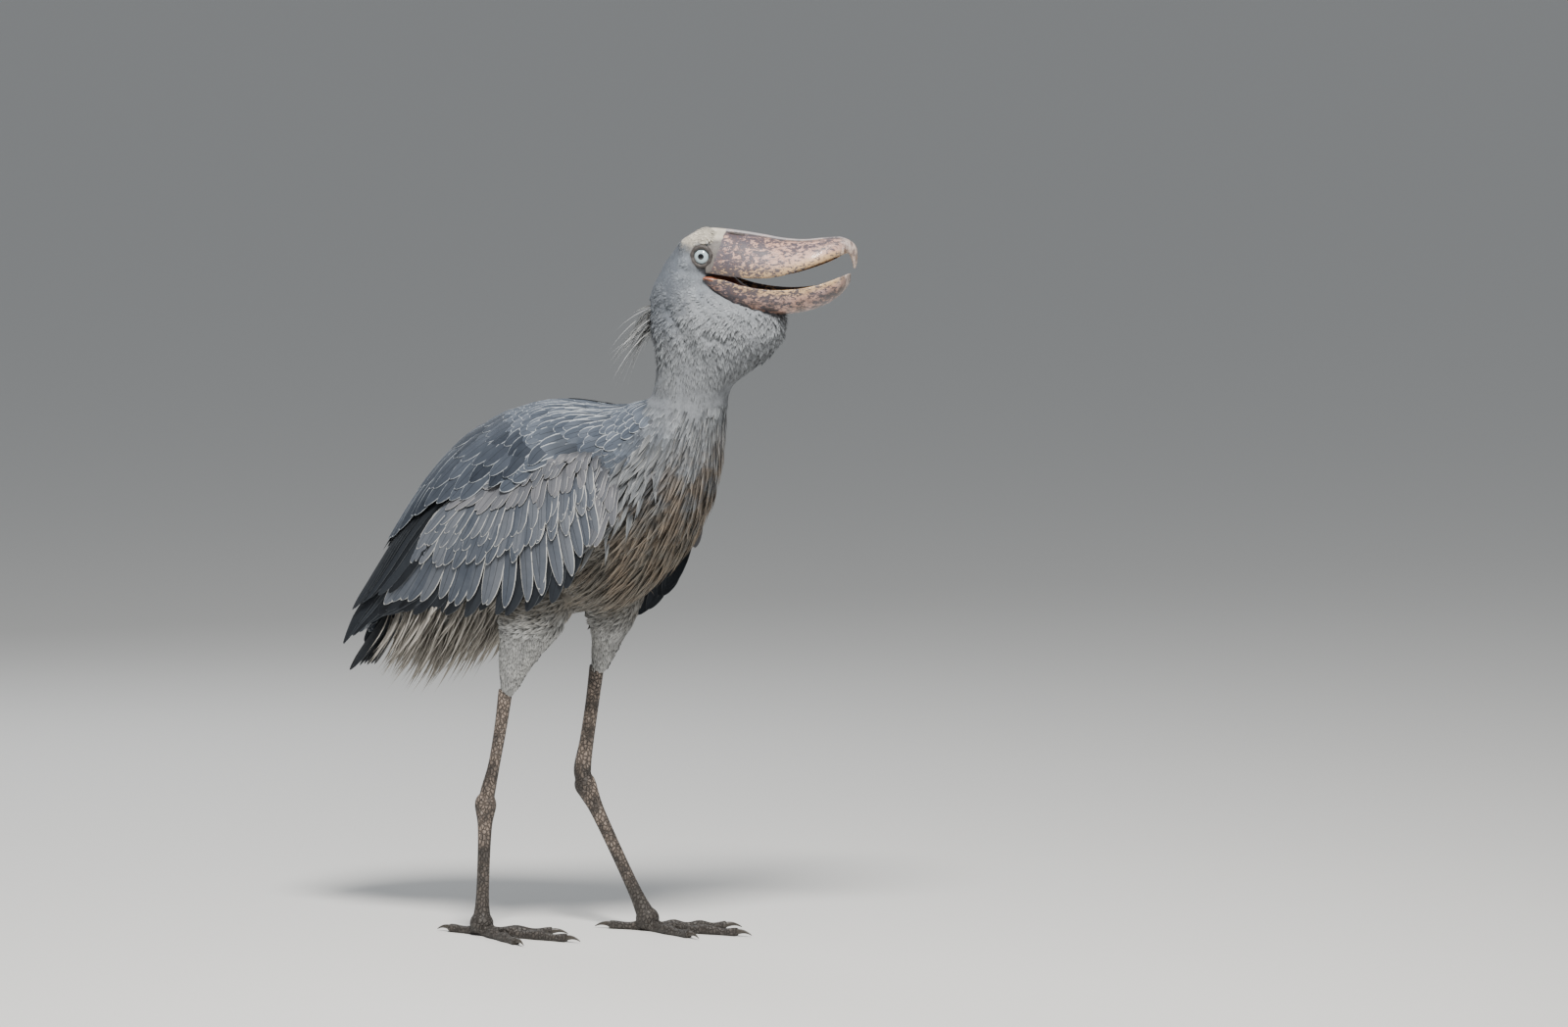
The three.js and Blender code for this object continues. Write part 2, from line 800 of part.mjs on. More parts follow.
// Legs, from the hip inside the body to the knuckle at the foot.
const LEGS = {
  right: {
    thigh: [
      [20, -58, 560, 62, 44],
      [2, -61, 505, 56, 42],
      [-12, -62, 470, 43, 35],
      [-25, -63, 436, 31, 26],
      [-35, -64, 402, 19, 18],
      [-42, -65, 378, 12, 12],
    ],
    shank: [
      [-42, -65, 390, 11.5],
      [-51, -66, 330, 10],
      [-62, -68, 270, 9.5],
      [-72, -70, 228, 12],
    ],
    ankle: [-76, -71, 206],
    knuckle: [-73, -90, 19],
    heading: -4 * DEG,
  },
  left: {
    thigh: [
      [92, 56, 560, 56, 44],
      [80, 59, 505, 42, 38],
      [72, 60, 470, 29, 28],
      [62, 60, 436, 20, 20],
      [54, 60, 412, 13.5, 13.5],
    ],
    shank: [
      [53, 60, 422, 12],
      [44, 60, 360, 11],
      [34, 60, 300, 11.5],
      [26, 60, 254, 14],
    ],
    ankle: [31, 60, 230],
    knuckle: [133, 80, 19],
    heading: 5 * DEG,
  },
};
const ANKLE = { fore: 18, across: 15 };
const TARSUS = { fore: 11, across: 9 };
const KNUCKLE = 19;

function tarsusRows(leg) {
  const [ax, ay, az] = leg.ankle;
  const [kx, ky, kz] = leg.knuckle;
  const at = (share) => [mix(ax, kx, share), mix(ay, ky, share), mix(az, kz, share)];
  return [
    [...at(-0.045), ANKLE.fore * 0.8, ANKLE.across * 0.8],
    [...at(0.01), ANKLE.fore, ANKLE.across],
    [...at(0.08), ANKLE.fore * 0.86, ANKLE.across * 0.85],
    [...at(0.2), TARSUS.fore * 1.08, TARSUS.across * 1.1],
    [...at(0.5), TARSUS.fore * 0.95, TARSUS.across],
    [...at(0.8), TARSUS.fore, TARSUS.across * 1.1],
    [...at(0.95), TARSUS.fore * 1.3, TARSUS.across * 1.5],
  ];
}

function knuckleBall(leg, grow) {
  return solid(new THREE.SphereGeometry(KNUCKLE + grow, 10, 6), at(leg.knuckle));
}

// Toes lie flat on the floor:
// [name, angle from the heading, length without claw, radius at root, radius at tip, joints].
const TOES = [
  ["middle", 2, 158, 9.5, 6.5, 3],
  ["inner", 30, 112, 9, 6.5, 2],
  ["outer", -30, 126, 9, 6.2, 3],
  ["hind", 176, 64, 9, 6.2, 1],
];
const CLAW = { length: 25, radius: 5.2, curl: 5 };

function toePath(leg, angle, side) {
  const turnBy = leg.heading + side * -angle * DEG;
  const [kx, ky] = leg.knuckle;
  return (out) => v3(kx + Math.cos(turnBy) * out, ky + Math.sin(turnBy) * out, 0);
}

function toeRings(path, length, rootRadius, tipRadius, joints) {
  const steps = 3 * joints + 1;
  const rings = [];
  const ahead = path(1).sub(path(0)).normalize();
  const lateral = v3(-ahead.y, ahead.x, 0);
  for (let i = 0; i <= steps; i++) {
    const share = i / steps;
    const swell = 1 + 0.14 * Math.cos(2 * Math.PI * joints * share);
    const radius = mix(rootRadius, tipRadius, share) * swell;
    const centre = path(share * length).setZ(radius * 0.86);
    rings.push(
      turn(7).map((angle) =>
        centre
          .clone()
          .addScaledVector(lateral, Math.cos(angle) * radius)
          .add(v3(0, 0, Math.sin(angle) * radius)),
      ),
    );
  }
  return rings;
}

function clawRings(path, length) {
  const rings = [];
  const steps = 4;
  const ahead = path(1).sub(path(0)).normalize();
  const lateral = v3(-ahead.y, ahead.x, 0);
  for (let i = 0; i <= steps; i++) {
    const share = i / steps;
    const radius = mix(CLAW.radius, 0.9, share);
    const height = 5.6 + CLAW.curl * Math.sin(Math.PI * share * 0.62) - 7.4 * share * share;
    const centre = path(length + GAP + share * CLAW.length).setZ(Math.max(height, radius * 0.8));
    rings.push(
      turn(7).map((angle) =>
        centre
          .clone()
          .addScaledVector(lateral, Math.cos(angle) * radius * 0.8)
          .add(v3(0, 0, Math.sin(angle) * radius)),
      ),
    );
  }
  return rings;
}

const onFloor = (piece) => piece.trimByPlane([0, 0, 1], 0);

const swollen = (rows) => rows.map(([x, y, z, fore, across]) => [x, y, z, fore + GAP, (across ?? fore) + GAP]);

function ankleBall(leg, grow) {
  const [fore, across, high] = [ANKLE.fore, ANKLE.across, ANKLE.fore * 1.1].map((radius) => radius + grow);
  const ball = new THREE.SphereGeometry(1, 10, 6).scale(fore, across, high);
  return solid(ball, at(leg.ankle));
}

function legNodes(name, grownBody) {
  const side = SIDES[name];
  const leg = LEGS[name];
  const grownThigh = tube(swollen(leg.thigh), 16);
  const shank = tube([...leg.shank, [...leg.ankle, 12, 11]], 12);
  const tarsus = join([tube(tarsusRows(leg), 12), ankleBall(leg, 0), knuckleBall(leg, 0)]);
  const nodes = [
    node(`thigh_${name}`, cut(tube(leg.thigh, 16), grownBody), finish.plumage),
    node(`shank_${name}`, cut(shank, ankleBall(leg, GAP), grownThigh), finish.skin),
    node(`tarsus_${name}`, onFloor(tarsus), finish.skin),
  ];
  let earlier = [knuckleBall(leg, GAP), tube(swollen(tarsusRows(leg)), 12)];
  for (const [toe, angle, length, rootRadius, tipRadius, joints] of TOES) {
    const path = toePath(leg, angle, side);
    const rings = toeRings(path, length, rootRadius, tipRadius, joints);
    const grown = toeRings(path, length, rootRadius + GAP, tipRadius + GAP, joints);
    nodes.push(node(`toe_${toe}_${name}`, onFloor(cut(loft(rings), ...earlier)), finish.skin));
    nodes.push(node(`claw_${toe}_${name}`, onFloor(loft(clawRings(path, length))), finish.claw));
    earlier = [...earlier, loft(grown)];
  }
  return nodes;
}

const bird = new THREE.Group();
bird.position.set(-DRAWN_FROM.x, -DRAWN_FROM.y, 0);

const head = new THREE.Group();
head.position.set(NECK_X, 0, 0);
head.rotation.z = HEAD_YAW;
head.add(node("head", headSolid(), finish.plumage));
head.add(
  node(
    "upper_bill",
    cut(join([upperBillSolid(0), hookSolid()]), palateHollow(), nostril(1), nostril(-1)),
    finish.bill,
  ),
);
head.add(node("lower_bill", cut(lowerBillSolid(0), troughHollow()), finish.bill));
for (const [name, side] of Object.entries(SIDES)) head.add(node(`eye_${name}`, eyeBall(side, 0), finish.eye));
bird.add(head);

const grownBody = bodySolid(GAP);
bird.add(node("neck", neckSolid(), finish.plumage));
const coat = (side, grow) => [backFeathers, breastPlumes, ventPlumes].flatMap((grown) => grown(side, grow));
bird.add(node("torso", join([bodySolid(0), ...coat(-1, 0), ...coat(1, 0)]), finish.plumage));
bird.add(node("tail", join([tailStump(0), ...tailFeathers(0)]), finish.tail));
for (const [name, side] of Object.entries(SIDES)) {
  const neighbours = [grownBody, ...coat(side, 2 * GAP), tailStump(GAP), ...tailFeathers(GAP)];
  const wing = cut(join([armSolid(side), ...wingFeathers(side)]), ...neighbours);
  bird.add(node(`wing_${name}`, wing, finish.wing));
  for (const piece of legNodes(name, grownBody)) bird.add(piece);
}

export default bird;
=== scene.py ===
import math

import bmesh
import bpy
import numpy as np
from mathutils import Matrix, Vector
from mathutils.kdtree import KDTree


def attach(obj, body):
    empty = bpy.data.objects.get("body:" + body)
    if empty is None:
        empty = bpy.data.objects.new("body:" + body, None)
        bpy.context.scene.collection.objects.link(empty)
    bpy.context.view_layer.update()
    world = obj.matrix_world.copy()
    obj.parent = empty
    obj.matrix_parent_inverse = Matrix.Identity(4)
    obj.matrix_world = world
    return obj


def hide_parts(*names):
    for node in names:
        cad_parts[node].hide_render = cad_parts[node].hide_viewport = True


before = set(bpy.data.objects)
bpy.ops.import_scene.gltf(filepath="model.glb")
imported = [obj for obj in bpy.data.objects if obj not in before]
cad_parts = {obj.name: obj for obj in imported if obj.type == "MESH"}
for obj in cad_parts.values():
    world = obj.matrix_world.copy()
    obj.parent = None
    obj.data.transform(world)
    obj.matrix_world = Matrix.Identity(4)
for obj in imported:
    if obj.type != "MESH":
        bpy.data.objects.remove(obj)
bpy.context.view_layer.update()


# Camera, floor and light.
# The camera stands ahead of the bird's right side, a long lens away and a little above it.
# The floor is plain and pale, and the light is that of a bright, overcast day.
VIEW_YAW = math.radians(28)
VIEW_RISE = math.radians(5)
VIEW_DISTANCE = 12.0
VIEW_WIDTH = 2.48
SENSOR_WIDTH = 36
LOOK_AT = Vector((0.2543, 0.1785, 0.666))


def placed(name, data):
    """A new object in the scene for this mesh, lamp or camera."""
    made = bpy.data.objects.new(name, data)
    bpy.context.collection.objects.link(made)
    return made


towards = Vector(
    (
        math.sin(VIEW_YAW) * math.cos(VIEW_RISE),
        -math.cos(VIEW_YAW) * math.cos(VIEW_RISE),
        math.sin(VIEW_RISE),
    )
)
camera_data = bpy.data.cameras.new("camera")
camera_data.sensor_width = SENSOR_WIDTH
camera_data.lens = SENSOR_WIDTH * VIEW_DISTANCE / VIEW_WIDTH
camera = placed("camera", camera_data)
camera.location = LOOK_AT + towards * VIEW_DISTANCE
camera.rotation_euler = (-towards).to_track_quat("-Z", "Y").to_euler()
bpy.context.scene.camera = camera

FLOOR_HALF = 400
floor_mesh = bpy.data.meshes.new("floor")
floor_corners = [(x * FLOOR_HALF, y * FLOOR_HALF, 0) for x, y in ((-1, -1), (1, -1), (1, 1), (-1, 1))]
floor_mesh.from_pydata(floor_corners, [], [(0, 1, 2, 3)])
floor = placed("floor", floor_mesh)
floor_paint = bpy.data.materials.new("pale_floor")
floor_paint.use_nodes = True
floor_shader = floor_paint.node_tree.nodes["Principled BSDF"]
floor_shader.inputs["Base Color"].default_value = (0.74, 0.73, 0.71, 1)
floor_shader.inputs["Roughness"].default_value = 0.9
floor_mesh.materials.append(floor_paint)

world = bpy.data.worlds.new("overcast")
world.use_nodes = True
sky = world.node_tree.nodes["Background"]
sky.inputs["Color"].default_value = (0.90, 0.95, 1.0, 1)
sky.inputs["Strength"].default_value = 0.31
bpy.context.scene.world = world
LIT_POINT = Vector((0, 0, 0.6))


def area_light(name, place, size, power, tint):
    lamp = bpy.data.lights.new(name, "AREA")
    lamp.shape = "DISK"
    lamp.size = size
    lamp.energy = power
    lamp.color = tint
    holder = placed(name, lamp)
    holder.location = place
    holder.rotation_euler = (LIT_POINT - Vector(place)).to_track_quat("-Z", "Y").to_euler()


area_light("sky_light", place=(1.3, -1.9, 3.9), size=1.1, power=325, tint=(1.0, 0.98, 0.94))
area_light("back_light", place=(-2.6, 1.8, 2.6), size=2.0, power=45, tint=(0.92, 0.96, 1.0))


# Body shape.
# Flesh and soft down of the whole bird, drawn in millimetres from the middle of the body as in the solids.
# The body is a barrel across a line from the neck down to the tail; the head turns a little to the left.
MM = 0.001
DRAWN_FROM = np.array([74.2, -3.9, 0.0])
HEAD_YAW = math.radians(14)
NECK_X = 254.0
rng = np.random.default_rng(11)


def keyed(rows):
    """A smooth curve through rows [place, value, value...]; gives an array of values at any places."""
    table = np.array(rows, float)
    places, values = table[:, 0], table[:, 1:]
    slopes = np.gradient(values, places, axis=0)

    def at(place):
        place = np.clip(np.asarray(place, float), places[0], places[-1])
        i = np.clip(np.searchsorted(places, place, side="right") - 1, 0, len(places) - 2)
        span = places[i + 1] - places[i]
        t = ((place - places[i]) / span)[..., None]
        span = span[..., None]
        first = (2 * t**3 - 3 * t**2 + 1) * values[i] + (t**3 - 2 * t**2 + t) * slopes[i] * span
        second = (3 * t**2 - 2 * t**3) * values[i + 1] + (t**3 - t**2) * slopes[i + 1] * span
        return np.moveaxis(first + second, -1, 0)

    return at


def metres(points):
    """Drawn millimetres to the scene's metres."""
    return (np.asarray(points) - DRAWN_FROM) * MM


def unit(vectors):
    return vectors / np.maximum(np.linalg.norm(vectors, axis=-1, keepdims=True), 1e-9)


def smooth(low, high, value):
    t = np.clip((np.asarray(value, float) - low) / (high - low), 0, 1)
    return t * t * (3 - 2 * t)


# [distance along, back x, back z, breast x, breast z, half width]
body_section = keyed(
    [
        [0, 190, 858, 318, 858, 56],
        [90, 116, 838, 292, 730, 96],
        [150, 50, 838, 262, 662, 112],
        [300, -78, 800, 135, 535, 118],
        [460, -180, 722, -60, 494, 100],
        [590, -262, 620, -200, 474, 66],
        [665, -312, 548, -272, 462, 44],
        [720, -345, 500, -318, 438, 34],
        [760, -368, 455, -346, 415, 26],
    ]
)
# [height, back, front, half width] of level sections of the neck and head, with the throat under the bill
head_section = keyed(
    [
        [858, -64, 64, 56],
        [880, -57, 74, 55],
        [902, -54, 97, 56],
        [925, -55, 128, 59],
        [949, -60, 149, 62],
        [974, -63, 156, 60],
        [994, -64, 150, 56],
        [1012, -64, 96, 53],
        [1030, -60, 58, 51],
        [1050, -50, 52, 49],
        [1079, -33, 52, 46],
        [1100, -13, 53, 39],
        [1114, 10, 54, 29],
        [1121, 26, 52, 17],
    ]
)


def body_point(along, angle, lift, side):
    """A point on the barrel: angle 0 is the back, 90 the flank and 180 the breast, in degrees."""
    bx, bz, fx, fz, half = body_section(along)
    angle = np.radians(angle)
    depth = np.hypot(fx - bx, fz - bz) / 2
    reach = -np.cos(angle) * (depth + lift)
    dx, dz = (fx - bx) / (2 * depth), (fz - bz) / (2 * depth)
    across = side * np.sin(angle) * (half + lift)
    return np.stack([(bx + fx) / 2 + dx * reach, across, (bz + fz) / 2 + dz * reach], -1)


def from_head(t, w, z):
    """Head frame to drawn millimetres: t runs forward along the bill, w to the bird's left."""
    t, w, z = np.broadcast_arrays(np.asarray(t, float), w, z)
    x = NECK_X + t * math.cos(HEAD_YAW) - w * math.sin(HEAD_YAW)
    y = t * math.sin(HEAD_YAW) + w * math.cos(HEAD_YAW)
    return np.stack([x, y, z], -1)


def to_head(points):
    x, y = points[..., 0] - NECK_X, points[..., 1]
    t = x * math.cos(HEAD_YAW) + y * math.sin(HEAD_YAW)
    w = -x * math.sin(HEAD_YAW) + y * math.cos(HEAD_YAW)
    return t, w, points[..., 2]


def head_ring(height, angle, lift):
    """Angle 0 is the nape and 180 the front; the neck's twist grows from its base."""
    back, front, half = head_section(height)
    angle = np.radians(angle)
    reach, middle = (front - back) / 2 + lift, (back + front) / 2
    t, w = middle - np.cos(angle) * reach, np.sin(angle) * (half + lift)
    twist = HEAD_YAW * smooth(856, 930, height)
    x = NECK_X + t * np.cos(twist) - w * np.sin(twist)
    y = t * np.sin(twist) + w * np.cos(twist)
    return np.stack([x, y, np.broadcast_to(height, x.shape)], -1)


def band_faces(count, around, closed=False):
    """Four-sided faces between rings of points; closed also joins the last ring to the first."""
    faces = []
    for i in range(count if closed else count - 1):
        this, following = i * around, (i + 1) % count * around
        for j in range(around):
            beside = (j + 1) % around
            faces.append((this + j, this + beside, following + beside, following + j))
    return faces


def loft(rings):
    """Points and faces of a closed skin over rings of equal count, with a fan at each end."""
    rings = np.asarray(rings, float)
    count, around = rings.shape[:2]
    points = list(rings.reshape(-1, 3)) + [rings[0].mean(0), rings[-1].mean(0)]
    faces = band_faces(count, around)
    last = (count - 1) * around
    for j in range(around):
        faces.append(((j + 1) % around, j, count * around))
        faces.append((last + j, last + (j + 1) % around, count * around + 1))
    return points, faces


TUBE_SIDES = 20


def tube(rows, swell=0.0):
    """A loft of oval rings along a path of rows [x, y, z, radius fore and aft, radius across]."""
    rows = np.array([row if len(row) == 5 else [*row, row[3]] for row in rows], float)
    places = np.arange(len(rows), dtype=float)
    fine = keyed(np.column_stack([places, rows]))
    steps = np.linspace(0, len(rows) - 1, 6 * len(rows))
    x, y, z, fore, across = fine(steps)
    path = np.stack([x, y, z], -1)
    ahead = unit(np.gradient(path, axis=0))
    lateral = unit(np.array([0, 1, 0]) - ahead * ahead[:, 1:2])
    forward = np.cross(lateral, ahead)
    turn = np.linspace(0, 2 * np.pi, TUBE_SIDES, endpoint=False)
    ring = (
        path[:, None]
        + forward[:, None] * (np.cos(turn)[None, :, None] * (fore[:, None, None] + swell))
        + lateral[:, None] * (np.sin(turn)[None, :, None] * (across[:, None, None] + swell))
    )
    return loft(ring)


def new_object(name, points, faces):
    """A mesh object from drawn millimetres, with its faces turned out."""
    mesh = bpy.data.meshes.new(name)
    mesh.from_pydata(metres(np.asarray(points)).tolist(), [], [tuple(map(int, face)) for face in faces])
    work = bmesh.new()
    work.from_mesh(mesh)
    bmesh.ops.recalc_face_normals(work, faces=work.faces)
    work.to_mesh(mesh)
    work.free()
    return placed(name, mesh)


def joined(shapes):
    """Points and faces of several shapes as one."""
    points, faces = [], []
    for shape_points, shape_faces in shapes:
        start = len(points)
        points.extend(shape_points)
        faces.extend(tuple(start + i for i in face) for face in shape_faces)
    return points, faces


def fused(name, shapes, voxel, rounds):
    """Several closed shapes as one skin: remeshed in voxels of this size and relaxed in rounds."""
    rough = new_object(name + "_rough", *joined(shapes))
    remesh = rough.modifiers.new("remesh", "REMESH")
    remesh.mode = "VOXEL"
    remesh.voxel_size = voxel
    relax = rough.modifiers.new("relax", "SMOOTH")
    relax.iterations = rounds
    relax.factor = 0.5
    graph = bpy.context.evaluated_depsgraph_get()
    mesh = bpy.data.meshes.new_from_object(rough.evaluated_get(graph))
    mesh.name = name
    bpy.data.objects.remove(rough)
    return placed(name, mesh)


def finish_piece(piece, finish, slot, *nodes):
    """Smooth shading and a material, and the nodes that the piece stands for; the slot is not used."""
    mesh = piece.data
    mesh.polygons.foreach_set("use_smooth", np.ones(len(mesh.polygons), bool))
    mesh.materials.append(finish)
    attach(piece, "root")
    if nodes:
        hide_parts(*nodes)


# Rows down each thigh: [x, y, z, radius fore and aft, radius across]
THIGHS = {
    "right": [
        [20, -58, 560, 62, 44],
        [2, -61, 505, 56, 42],
        [-12, -62, 470, 43, 35],
        [-25, -63, 436, 31, 26],
        [-35, -64, 402, 19, 18],
        [-42, -65, 378, 12, 12],
    ],
    "left": [
        [92, 56, 560, 56, 44],
        [80, 59, 505, 42, 38],
        [72, 60, 470, 29, 28],
        [62, 60, 436, 20, 20],
        [54, 60, 412, 13.5, 13.5],
    ],
}
SKIN_DEPTH = 3.0
RING_POINTS = 48
around = np.linspace(0, 360, RING_POINTS, endpoint=False)
# The skin draws in by another 20 mm at the root of the tail.
body_rings = [
    body_point(np.full(RING_POINTS, along), around, -SKIN_DEPTH - 20 * smooth(600, 650, along), 1)
    for along in np.linspace(3, 645, 60)
]
head_rings = [
    head_ring(np.full(RING_POINTS, float(z)), around, -SKIN_DEPTH * 0.7) for z in np.linspace(846, 1119.5, 62)
]
skin_shapes = [loft(body_rings), loft(head_rings)]
skin_shapes += [tube(rows, swell=-SKIN_DEPTH) for rows in THIGHS.values()]
skin = fused("skin", skin_shapes, 0.0032, 9)


def read(mesh, what):
    values = np.empty(len(mesh.vertices) * 3, np.float32)
    mesh.vertices.foreach_get(what, values)
    return values.reshape(-1, 3).astype(float)


def drawn(mesh):
    """A mesh's points in drawn millimetres."""
    return read(mesh, "co") / MM + DRAWN_FROM


def point_values(mesh, label, values):
    """A named value at each point of a mesh, for its material."""
    layer = mesh.attributes.new(label, "FLOAT", "POINT")
    layer.data.foreach_set("value", values.astype(np.float32))


def beside(t, z, line):
    """Distance in the side view of the head from a line of [t, z] points."""
    best = np.full(t.shape, 1e9)
    for (t0, z0), (t1, z1) in zip(line, line[1:]):
        run = (t1 - t0) ** 2 + (z1 - z0) ** 2
        share = np.clip(((t - t0) * (t1 - t0) + (z - z0) * (z1 - z0)) / run, 0, 1)
        best = np.minimum(best, np.hypot(t - t0 - share * (t1 - t0), z - z0 - share * (z1 - z0)))
    return best


# Middle of the eye in the head's frame
EYE = {"t": 30.0, "w": 35.5, "z": 1081.5}
# Folds and swellings of the face and throat: [line of t and z, height, width]
FACE_RELIEF = [
    ([(-24, 998), (-17, 985), (0, 957), (12, 938)], -3.6, 8),
    ([(18, 990), (30, 965), (34, 944)], 3.0, 11),
    ([(30, 948), (52, 957), (74, 951)], -2.6, 9),
    ([(46, 972), (66, 966), (86, 972)], 2.6, 9),
    ([(98, 962), (112, 948)], 2.4, 9),
    ([(-6, 1064), (12, 1057), (32, 1056)], -2.0, 6),
    ([(2, 1098), (18, 1104), (40, 1106)], 3.0, 7),
    ([(30, 1081.5), (44, 1084)], -3.0, 12),
]
# Slants of the waves that make the throat lumpy
LUMP_WAVES = ([0.31, 0.12, 0.07], [-0.05, 0.21, 0.27], [0.1, -0.2, 0.19])
flesh_co, flesh_no = drawn(skin.data), read(skin.data, "normal")
flesh_t, flesh_w, flesh_z = to_head(flesh_co)
relief = np.zeros(len(flesh_co))
for line, height, width in FACE_RELIEF:
    relief += height * np.exp(-((beside(flesh_t, flesh_z, line) / width) ** 2))
relief *= smooth(880, 925, flesh_z) * smooth(6, 30, np.abs(flesh_w))
wave_a, wave_b, wave_c = (np.sin(flesh_co @ slant) for slant in LUMP_WAVES)
relief += 2.2 * (wave_a * wave_b * wave_c) * smooth(870, 930, flesh_z) * smooth(1040, 1000, flesh_z)
crown_rise = smooth(1082, 1108, flesh_z) * smooth(-30, -4, flesh_t) * (1 - smooth(30, 46, flesh_t))
relief += 5.0 * crown_rise
flesh_co += flesh_no * relief[:, None]
skin.data.vertices.foreach_set("co", metres(flesh_co).astype(np.float32).ravel())
skin.data.update()
# Bare skin round the eye
bare = 1 - smooth(17, 23, np.hypot(flesh_t - EYE["t"] - 4, flesh_z - EYE["z"]))
point_values(skin.data, "bare", bare)


# Markings.
# The plumage is blue-grey, paler on the neck and face, cream on the forehead, with mud-stained breast plumes;
# painted shade darkens the nape.
# One shader group gives this tint by place, and the skin and every small feather over it share it.
# The places and heights in it are metres in the scene, where the eye is at a height of 1.08.
SLATE = (0.095, 0.112, 0.142)
NECK_GREY = (0.275, 0.29, 0.31)
FACE_GREY = (0.26, 0.285, 0.32)
CREAM = (0.62, 0.56, 0.46)
CROWN = (0.115, 0.118, 0.125)
BUFF = (0.29, 0.215, 0.15)
BELLY = (0.21, 0.195, 0.17)
THIGH_GREY = (0.43, 0.43, 0.42)


class Nodes:
    """Short words for building a node tree."""

    def __init__(self, tree):
        self.tree = tree

    def add(self, kind, **settings):
        node = self.tree.nodes.new(kind)
        for name, value in settings.items():
            setattr(node, name, value)
        return node

    def link(self, source, target):
        if isinstance(source, (int, float)):
            target.default_value = source
        elif isinstance(source, tuple):
            target.default_value = (*source, 1) if target.type == "RGBA" else source
        else:
            self.tree.links.new(source, target)

    def math(self, operation, a, b=0.0, c=0.0, clamp=False):
        node = self.add("ShaderNodeMath", operation=operation, use_clamp=clamp)
        for value, socket in zip((a, b, c), node.inputs):
            self.link(value, socket)
        return node.outputs[0]

    def times(self, a, b):
        return self.math("MULTIPLY", a, b)

    def rest(self, value):
        """What the value lacks of 1."""
        return self.math("SUBTRACT", 1.0, value)

    def spot(self):
        """The place on the object."""
        return self.add("ShaderNodeTexCoord").outputs["Object"]

    def point_value(self, label):
        """A named value that the mesh holds at its points."""
        return self.add("ShaderNodeAttribute", attribute_name=label).outputs["Fac"]

    def step(self, value, low, high):
        """0 at low and 1 at high, smoothly."""
        node = self.add("ShaderNodeMapRange", interpolation_type="SMOOTHSTEP")
        self.link(value, node.inputs["Value"])
        self.link(low, node.inputs["From Min"])
        self.link(high, node.inputs["From Max"])
        return node.outputs[0]

    def mix(self, factor, a, b, blend="MIX"):
        node = self.add("ShaderNodeMix", data_type="RGBA", blend_type=blend)
        self.link(factor, node.inputs[0])
        self.link(a, node.inputs[6])
        self.link(b, node.inputs[7])
        return node.outputs[2]

    def paint(self, under, over, mask, strength):
        """A colour laid over another by a mask, at this strength."""
        return self.mix(self.times(mask, strength), under, over)

    def noise(self, vector, scale, detail=3.0, rough=0.5, distort=0.0):
        node = self.add("ShaderNodeTexNoise")
        self.link(vector, node.inputs["Vector"])
        self.link(scale, node.inputs["Scale"])
        self.link(detail, node.inputs["Detail"])
        self.link(rough, node.inputs["Roughness"])
        self.link(distort, node.inputs["Distortion"])
        return node.outputs["Fac"]

    def stretched(self, vector, scale):
        node = self.add("ShaderNodeMapping")
        self.link(vector, node.inputs["Vector"])
        node.inputs["Scale"].default_value = scale
        return node.outputs[0]

    def group(self, tree, **values):
        node = self.add("ShaderNodeGroup", node_tree=tree)
        for name, value in values.items():
            self.link(value, node.inputs[name])
        return node


def shader_group(name, inputs, outputs):
    """A new shader group with named sockets; inputs are name: default, outputs are name: kind."""
    tree = bpy.data.node_groups.new(name, "ShaderNodeTree")
    for label, default in inputs.items():
        kind = "NodeSocketColor" if isinstance(default, tuple) else "NodeSocketFloat"
        socket = tree.interface.new_socket(label, in_out="INPUT", socket_type=kind)
        socket.default_value = (*default, 1) if isinstance(default, tuple) else default
    for label, kind in outputs.items():
        tree.interface.new_socket(label, in_out="OUTPUT", socket_type=kind)
    n = Nodes(tree)
    return tree, n, n.add("NodeGroupInput"), n.add("NodeGroupOutput")


plumage_tint, n, tint_in, tint_out = shader_group(
    "plumage_tint", {"Mottle": 1.0}, {"Color": "NodeSocketColor"}
)
place = n.spot()
split = n.add("ShaderNodeSeparateXYZ")
n.link(place, split.inputs[0])
px, py, pz = split.outputs
ragged = n.times(n.math("SUBTRACT", n.noise(place, 24, 5, 0.6), 0.5), 0.09)
z_ragged = n.math("ADD", pz, ragged)
x_ragged = n.math("ADD", px, ragged)
colour = n.mix(n.step(z_ragged, 0.58, 0.78), BELLY, SLATE)
front = n.step(n.math("MULTIPLY_ADD", pz, 0.55, x_ragged), 0.53, 0.66)
colour = n.mix(front, colour, NECK_GREY)
to_breast = n.math("MULTIPLY_ADD", x_ragged, 0.77, n.times(pz, -0.64))
stained = n.times(n.step(to_breast, -0.37, -0.30), n.step(n.noise(place, 34, 5, 0.62), 0.34, 0.60))
stained = n.times(stained, n.rest(n.step(z_ragged, 0.74, 0.84)))
stained = n.times(stained, n.step(z_ragged, 0.50, 0.58))
colour = n.paint(colour, BUFF, stained, 0.7)
colour = n.mix(n.step(z_ragged, 0.52, 0.48), colour, THIGH_GREY)
colour = n.mix(n.step(z_ragged, 0.93, 0.99), colour, FACE_GREY)
cheek = n.times(n.step(z_ragged, 0.93, 0.97), n.rest(n.step(z_ragged, 1.0, 1.05)))
colour = n.paint(colour, (0.40, 0.41, 0.425), cheek, 0.5)
crown = n.step(n.math("MULTIPLY_ADD", x_ragged, -0.62, z_ragged), 0.955, 0.985)
colour = n.paint(colour, CROWN, crown, 0.75)
# Painted shade: the back of the neck and head, away from the light, is painted a darker blue-grey.
ahead = n.math("MULTIPLY_ADD", py, 0.242, n.times(x_ragged, 0.97))
nape = n.times(n.step(ahead, 0.192, 0.155), n.step(z_ragged, 0.92, 0.99))
colour = n.paint(colour, (0.125, 0.143, 0.175), nape, 0.7)
